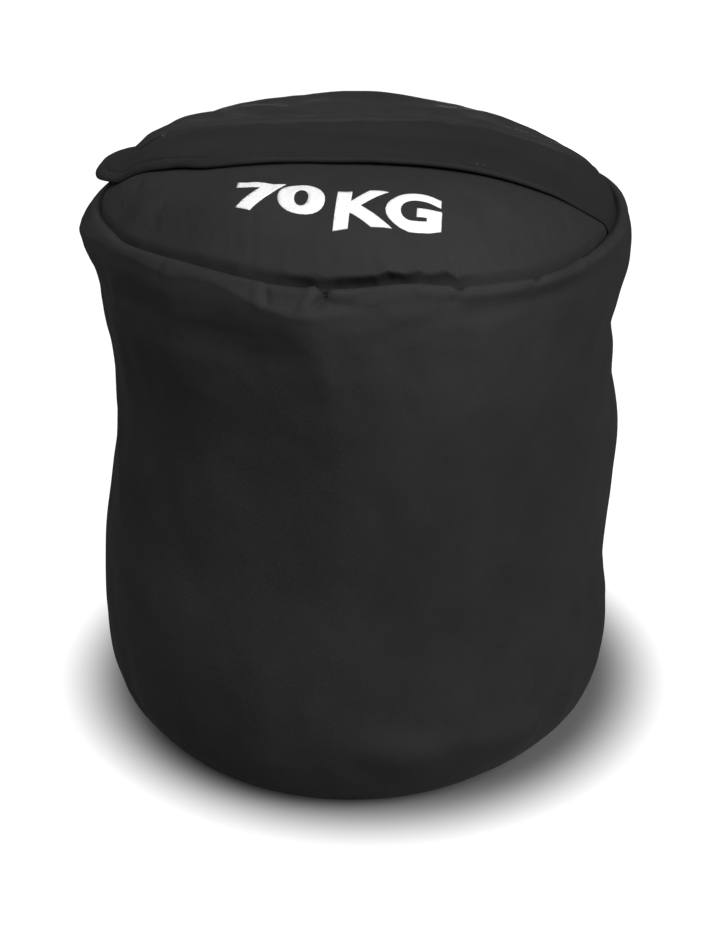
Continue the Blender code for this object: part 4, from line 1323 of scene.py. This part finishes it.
def inner_surface(name, inset, layers, close_radius, thickness=0.0):
    """A round body that fills the wall and the dome with an inset, from its crown to its base."""
    azimuths = round_steps(FILL_ROUND_STEPS)
    turn = np.radians(azimuths)
    side_top = seam_radius(azimuths) - CROWN_GROOVE_SHARE * GROOVE_DEPTH
    side_top = side_top - CROWN_DRAWN_SHARE * around(DRAWN_IN, azimuths)
    rows = []
    for share in np.linspace(close_radius / CROWN_RADIUS, 1.0, CROWN_ROWS):
        x, y, _ = np.moveaxis(turned(side_top * share, 0, turn), -1, 0)
        top = dome_height(x, y) - inset * CROWN_INSET_SHARE
        near_zip = smoothstep(*CROWN_ZIP_RUN, np.abs(y - ZIP_LINE))
        over = np.clip(top - zip_z(x) + inset * ZIP_INSET_SHARE, 0, None)
        rows.append((side_top * share, top - near_zip * over))
    for z in np.linspace(SEAM_HEIGHT - SHOULDER_DROP, FILL_FOOT, SIDE_ROWS):
        rows.append((hung_radius(azimuths, min(z, WALL_OUTLINE[0][0])) - inset, z))
    side = rows[-1][0]
    for share, lift in FOOT_SHARES_AND_LIFTS:
        rows.append((side * share, lift + FOOT_INSET_SHARE * (inset - FOOT_INSET)))
    r = np.stack([row[0] for row in rows])
    z = np.stack([np.broadcast_to(row[1], r.shape[1:]) for row in rows])
    points = turned(r, z, turn)
    points = points - normals(points) * np.abs(lumps(layers, *np.moveaxis(points, -1, 0)))[..., None]
    run = np.radians(np.append(azimuths, 180)) * MEAN_RADIUS
    uv = paired(run, -np.arange(len(rows))[:, None] * FILL_ROW_RUN)
    return grid_object(name, points, uv, closed=True, thickness=thickness)


def make_neck(material, strap_material):
    """The liner's gathered neck, in pleats that a strap draws together."""
    turn = np.radians(round_steps(NECK_STEPS[0]))
    z = np.linspace(NECK_PROFILE[0][0], NECK_PROFILE[-1][0], NECK_STEPS[1])[:, None]
    (wide, wide_count), (fine, fine_count) = NECK_PLEATS
    pleat = wide * np.sin(turn * wide_count + NECK_PLEAT_SHIFT * np.sin(3 * turn))
    pleat = pleat + fine * np.sin(turn * fine_count + 1)
    deep = NECK_PLEAT_SHARES[0] + NECK_PLEAT_SHARES[1] * smoothstep(*NECK_SPREAD, z)
    r = through(NECK_PROFILE, z) * (1 + pleat * deep)
    uv = paired(np.append(turn, turn[0] + 2 * np.pi) * NECK_RADIUS, z)
    neck = grid_object("gathered_neck", turned(r, z, turn)[::-1], uv[::-1].copy(), True, LINER_THICKNESS)
    settle(neck, material, "bag", "liner_cloth", "liner_neck")
    strap = ring_loft("neck_band", rounded_box(*STRAP_SIZE), STRAP_RADIUS, STRAP_Z)
    settle(strap, strap_material, "bag", "webbing", "neck_strap")
    return neck, strap


def make_inside(webbing, liner_cloth, sand):
    liner = inner_surface("inner_liner", LINER_INSET, LINER_LUMPS, NECK_HOLE, LINER_THICKNESS)
    settle(liner, liner_cloth, "bag", "liner_cloth", "liner_bag")
    fill = inner_surface("sand", SAND_INSET, SAND_LUMPS, SAND_PEAK)
    settle(fill, sand, "bag", "sand", "sand_fill")
    rim = ring_loft(
        "rim_binding", rounded_box(*BINDING_SIZE), lambda a: seam_radius(a) - RIM_BINDING_INSET,
        lambda a: seam_height(a) - RIM_GROOVE_DEPTH - RIM_BINDING_DROP,
    )
    settle(rim, webbing, "bag", "webbing", "rim_seam_binding")
    base = ring_loft(
        "base_binding", rounded_box(*BINDING_SIZE), BASE_SEAM_RADIUS - BASE_BINDING_INSET,
        BASE_SEAM_LIFT + GROOVE_DEPTH + BASE_BINDING_RISE,
    )
    settle(base, webbing, "bag", "webbing", "base_seam_binding")
    up = np.linspace(*SEAM_TAPE_ENDS, SEAM_TAPE_STEPS[0])[:, None]
    turn = np.radians(90) + np.linspace(-SEAM_TAPE_TURN, SEAM_TAPE_TURN, SEAM_TAPE_STEPS[1])
    r = outline_radius(np.degrees(turn), up) - SEAM_TAPE_INSET
    run = paired(turn * MEAN_RADIUS, up)
    tape = grid_object("seam_tape", turned(r, up, turn), run, thickness=SEAM_TAPE_THICKNESS)
    settle(tape, webbing, "bag", "webbing", "wall_seam_tape")
    return liner


def make_base(material):
    """The round bottom: flat on the floor, rising at its edge into the base seam."""
    turn = np.radians(round_steps(BASE_ROUND_STEPS))
    profile = [(BASE_TUCK_RADIUS, BASE_SEAM_LIFT + GROOVE_DEPTH), *BASE_EDGE]
    profile += [(r, 0) for r in np.linspace(*BASE_FLAT, BASE_FLAT_ROWS)]
    r, z = np.array(profile).T[..., None]
    points = turned(r, z, turn)
    pucker = np.abs(lumps(BASE_LUMPS, points[..., 0], points[..., 1]))
    points[..., 2] += pucker * bell(r - BASE_PUCKER_RADIUS, BASE_PUCKER_WIDTH)
    closed = np.concatenate([points, points[:, :1]], axis=1)
    made = grid_object("round_base", points, closed[..., :2].copy(), True, CLOTH_THICKNESS, offset=1)
    return settle(made, material, "bag", "outer_cloth", "base_panel")


# Hook and loop


def tape_patch(name, height, seed, pile, facing):
    """A tape along the flap's front edge, whose face is a field of small tufts."""
    x_low, x_high, y_low, y_high = PATCH_PLACE
    columns, rows = PATCH_STEPS
    x = np.linspace(x_low, x_high, columns)[None]
    y = y_low + (y_high - y_low) * np.linspace(0, 1, rows)[:, None] + front_edge(x) - PATCH_EDGE_Y
    x, y = np.broadcast_arrays(x, y)
    rim = np.minimum(np.minimum(x - x_low, x_high - x), np.minimum(y - y.min(0), y.max(0) - y))
    tuft = TUFT_SHARES[0] + TUFT_SHARES[1] * noise(np.stack([x, y, 0 * x], axis=-1), TUFT_SIZE, seed)
    z = height(x, y) + facing * pile * tuft * smoothstep(0, PATCH_RIM, rim)
    points = np.stack([x, y, z], axis=-1)[::-facing]
    return grid_object(name, points, points[..., :2].copy(), thickness=PATCH_THICKNESS)


def make_hook_and_loop(hook_material, loop_material):
    loop = tape_patch("loop_tape", lambda x, y: front_height(x, y) + LOOP_LIFT, 71, LOOP_PILE, 1)
    settle(loop, loop_material, "bag", "loop_tape", "panel_loop_tape")
    under = FLAP_INNER_THICKNESS + HOOK_GAP
    hook = tape_patch("hook_tape", lambda x, y: flap_height(x, y) - under, 72, HOOK_PILE, -1)
    settle(hook, hook_material, "flap", "hook_tape", "flap_hook_tape")


# Materials


class Nodes:
    """Adds nodes to the tree of a material or of the world."""

    def __init__(self, owner):
        owner.use_nodes = True
        self.tree = owner.node_tree

    def put(self, socket, value):
        """Links a socket to another node's output, or sets it to a number or a colour."""
        if isinstance(value, bpy.types.NodeSocket):
            self.tree.links.new(value, socket)
        else:
            socket.default_value = value

    def add(self, kind, sockets=(), **settings):
        """A new node with its settings, and its sockets by name or number."""
        node = self.tree.nodes.new("ShaderNode" + kind)
        for key, value in settings.items():
            setattr(node, key, value)
        for key, value in dict(sockets).items():
            self.put(node.inputs[key], value)
        return node

    def math(self, operation, a, b=0.0):
        return self.add("Math", {0: a, 1: b}, operation=operation).outputs[0]

    def noise(self, scale, detail):
        where = self.add("TexCoord").outputs["Object"]
        return self.add("TexNoise", {"Vector": where, "Scale": scale, "Detail": detail}).outputs["Fac"]

    def ramp(self, value, low, high, from_min=0.0, from_max=1.0, interpolation="LINEAR"):
        """The value, brought from one range to another."""
        sockets = {"Value": value, "From Min": from_min, "From Max": from_max, "To Min": low, "To Max": high}
        return self.add("MapRange", sockets, interpolation_type=interpolation).outputs[0]

    def mix(self, factor, a, b, blend="MIX"):
        sockets = {"Factor": factor, "A": a, "B": b}
        return self.add("Mix", sockets, data_type="RGBA", blend_type=blend).outputs["Result"]

    def finish(self, name, sockets):
        """Sets or links sockets of a node that the tree has from its start."""
        for key, value in sockets.items():
            self.put(self.tree.nodes[name].inputs[key], value)


def fabric(name, color, thread, weave_depth, sheen, roughness):
    """Plain woven cloth: warp and weft threads along the cloth coordinates, with fuzz and wear."""
    made = bpy.data.materials.new(name)
    nodes = Nodes(made)
    place = nodes.add("UVMap", uv_map="cloth").outputs[0]
    split = nodes.add("SeparateXYZ", {0: place})
    slubs = nodes.noise(*SLUBS)
    spots = nodes.noise(*SPOTS)
    blotches = nodes.noise(*BLOTCHES)
    fuzz = nodes.noise(*FUZZ)
    uneven = nodes.math("MULTIPLY", slubs, thread * SLUB_SHARE)
    across = nodes.math("ADD", split.outputs[0], uneven)
    along = nodes.math("SUBTRACT", split.outputs[1], uneven)
    warp = nodes.math("SINE", nodes.math("MULTIPLY", across, math.pi / thread))
    weft = nodes.math("SINE", nodes.math("MULTIPLY", along, math.pi / thread))
    over = nodes.math("MULTIPLY", nodes.math("MULTIPLY", warp, weft), WEAVE_OVER_SHARE)
    ribs = nodes.math("ADD", nodes.math("ABSOLUTE", warp), nodes.math("ABSOLUTE", weft))
    weave = nodes.math("ADD", nodes.math("MULTIPLY", ribs, WEAVE_RIB_SHARE), over)

    # The colour: spots, threads, dusting and worn ridges
    level = nodes.math("ADD", nodes.math("MULTIPLY", weave, WEAVE_TINT_SHARE), GROOVE_TINT)
    tint = nodes.math("MULTIPLY", nodes.ramp(spots, *SPOT_TINTS, *SPOT_RANGE), level)
    dusting = nodes.math("MULTIPLY", slubs, SLUB_TINT_SHARE)
    dusting = nodes.math("ADD", dusting, nodes.math("MULTIPLY", blotches, BLOTCH_TINT_SHARE))
    tint = nodes.math("MULTIPLY", tint, nodes.math("ADD", dusting, CLEAN_TINT))
    ridges = nodes.add("NewGeometry").outputs["Pointiness"]
    worn = nodes.math("MULTIPLY", nodes.ramp(ridges, 0.0, WORN_SHARE, *WORN_RANGE), blotches)
    tint = nodes.math("MULTIPLY", tint, nodes.math("ADD", worn, 1.0))
    grey = nodes.add("CombineColor", {0: tint, 1: tint, 2: tint}).outputs[0]
    shade = nodes.mix(1.0, (*color, 1), grey, "MULTIPLY")

    # The relief: threads, fuzz and slubs
    height = nodes.math("ADD", weave, nodes.math("MULTIPLY", fuzz, FUZZ_RELIEF_SHARE))
    height = nodes.math("ADD", height, nodes.math("MULTIPLY", slubs, SLUB_RELIEF_SHARE))
    bump = nodes.add("Bump", {"Distance": weave_depth, "Strength": 1.0, "Height": height})
    nodes.finish("Principled BSDF", {
        "Base Color": shade,
        "Roughness": nodes.ramp(spots, roughness - FABRIC_SPREAD, roughness + FABRIC_SPREAD),
        "Normal": bump.outputs[0],
        "Sheen Weight": sheen,
        "Sheen Roughness": 0.4,
        "Specular IOR Level": 0.14,
    })
    return made


def plain(name, color, roughness, metallic=0.0, grain=0.0, grain_size=600.0):
    """A plain surface with uneven colour, roughness and a fine grain."""
    made = bpy.data.materials.new(name)
    nodes = Nodes(made)
    spots = nodes.noise(grain_size, 4.0)
    dark, light = ((*(min(1, c * share) for c in color), 1) for share in PLAIN_SHARES)
    nodes.finish("Principled BSDF", {
        "Base Color": nodes.mix(spots, dark, light),
        "Roughness": nodes.ramp(spots, roughness - PLAIN_SPREAD, roughness + PLAIN_SPREAD),
        "Normal": nodes.add("Bump", {"Distance": grain, "Height": spots}).outputs[0],
        "Metallic": metallic,
    })
    return made


# Camera, lights and floor


def make_camera():
    camera = linked("camera", bpy.data.cameras.new("camera"))
    camera.location = CAMERA_PLACE
    camera.rotation_euler = Vector(CAMERA_AIM).to_track_quat("-Z", "Y").to_euler()
    camera.data.sensor_fit = "VERTICAL"
    camera.data.sensor_height = SENSOR_HEIGHT
    camera.data.lens = FOCAL_PIXELS * SENSOR_HEIGHT / PICTURE_HEIGHT
    bpy.context.scene.camera = camera


def make_floor():
    """A grey floor that keeps the bag's cast shadow, with a painted shadow round the bag: for the camera it
    glows white away from the bag, and less and less nearer to it.
    """
    bpy.ops.mesh.primitive_plane_add(size=FLOOR_SIZE)
    floor = bpy.context.object
    floor.name = "floor"
    white = bpy.data.materials.new("floor_white_with_painted_shadow")
    nodes = Nodes(white)
    seen = nodes.add("LightPath").outputs["Is Camera Ray"]
    where = nodes.add("TexCoord").outputs["Object"]
    away = nodes.add("VectorMath", {0: where, 1: PAINTED_SHADOW_MIDDLE}, operation="SUBTRACT").outputs[0]
    away = nodes.add("VectorMath", {0: away}, operation="LENGTH").outputs["Value"]
    # Painted shadow: the camera's white glow fades out towards the bag, so the dark camera grey shows round
    # it
    level = nodes.ramp(away, 0.0, 1.0, *PAINTED_SHADOW_RADII, interpolation="SMOOTHSTEP")
    glow = nodes.add("Emission", {"Color": (1, 1, 1, 1), "Strength": nodes.math("MULTIPLY", seen, level)})
    greys = ((*[grey] * 3, 1) for grey in FLOOR_GREYS)
    nodes.finish("Principled BSDF", {
        "Base Color": nodes.mix(seen, *greys),
        "Roughness": 0.9,
        "Specular IOR Level": 0.0,
    })
    shader = nodes.tree.nodes["Principled BSDF"].outputs[0]
    both = nodes.add("AddShader", {0: shader, 1: glow.outputs[0]})
    nodes.finish("Material Output", {"Surface": both.outputs[0]})
    floor.data.materials.append(white)


def make_world():
    """A dim even light that the camera sees as white."""
    world = bpy.data.worlds.new("world")
    bpy.context.scene.world = world
    nodes = Nodes(world)
    nodes.finish("Background", {"Color": (1, 1, 1, 1), "Strength": WORLD_STRENGTH})
    dim = nodes.tree.nodes["Background"].outputs[0]
    clear = nodes.add("Background", {"Color": (1, 1, 1, 1), "Strength": 1.0}).outputs[0]
    seen = nodes.add("LightPath").outputs["Is Camera Ray"]
    nodes.finish("World Output", {"Surface": nodes.add("MixShader", {0: seen, 1: dim, 2: clear}).outputs[0]})


def make_lamps():
    for name, place, size, power in LAMPS:
        light = bpy.data.lights.new(name, "AREA")
        light.size = size
        light.energy = power
        lamp = linked(name, light)
        lamp.location = place
        lamp.rotation_euler = (Vector(LAMP_AIM) - Vector(place)).to_track_quat("-Z", "Y").to_euler()
        lamp.visible_camera = False


cloth = fabric("black_woven_cloth", (0.0212, 0.0212, 0.0217), 0.0007, 0.00008, 0.02, 0.72)
# The flap is the same black cloth with painted shade: its darker colour stands in for the flap catching less
# light than the panels
flap_cloth_painted_shade = fabric("black_cloth_painted_shade_for_flap", (0.0140, 0.0140, 0.0144), 0.0007, 0.00008, 0.02, 0.74)
webbing = fabric("black_webbing", (0.018, 0.018, 0.018), 0.0009, 0.0002, 0.05, 0.8)
liner_cloth = fabric("liner_cloth", (0.25, 0.25, 0.24), 0.0006, 0.00006, 0.0, 0.6)
thread = plain("black_thread", (0.016, 0.016, 0.016), 0.6, grain=0.0001, grain_size=3000)
coil = plain("black_nylon_coil", (0.02, 0.02, 0.02), 0.35, grain=0.00002, grain_size=2000)
metal = plain("dark_plated_metal", (0.09, 0.09, 0.09), 0.36, 1.0, 0.00002, 900)
hooks = plain("hook_plastic", (0.02, 0.02, 0.02), 0.5, grain=0.0003, grain_size=1500)
loops = plain("loop_pile", (0.015, 0.015, 0.015), 0.9, grain=0.0005, grain_size=1200)
sand = plain("sand", (0.62, 0.5, 0.34), 0.85, grain=0.0006, grain_size=900)
print_white = plain("white_print", (0.78, 0.78, 0.78), 0.55, grain=0.00005, grain_size=800)

make_camera()
make_floor()
make_world()
make_lamps()
bpy.context.scene.view_settings.view_transform = "Standard"

wall = make_wall(cloth)
front = make_panel("front_panel", -1, front_height, "top_front_panel", cloth)
rear = make_panel("rear_panel", 1, rear_height, "top_rear_panel", cloth)
base = make_base(cloth)
flap = make_flap(flap_cloth_painted_shade)
stitches = make_stitches(thread)
front_faces = BVHTree.FromObject(front, bpy.context.evaluated_depsgraph_get())
for body, corners in MARKS:
    make_mark(body, corners, front_faces, print_white)
for side, end in ((-1, "front"), (1, "rear")):
    make_coil(side, "zip_chain_" + end, coil)
    make_zip_tape(side, "zip_tape_" + end, webbing)
make_hook_and_loop(hooks, loops)
liner = make_inside(webbing, liner_cloth, sand)
neck, neck_band = make_neck(liner_cloth, webbing)
for node in ("zip_slider", "zip_pull_tab", "zip_stop_left", "zip_stop_right"):
    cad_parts[node].material_slots[0].material = metal
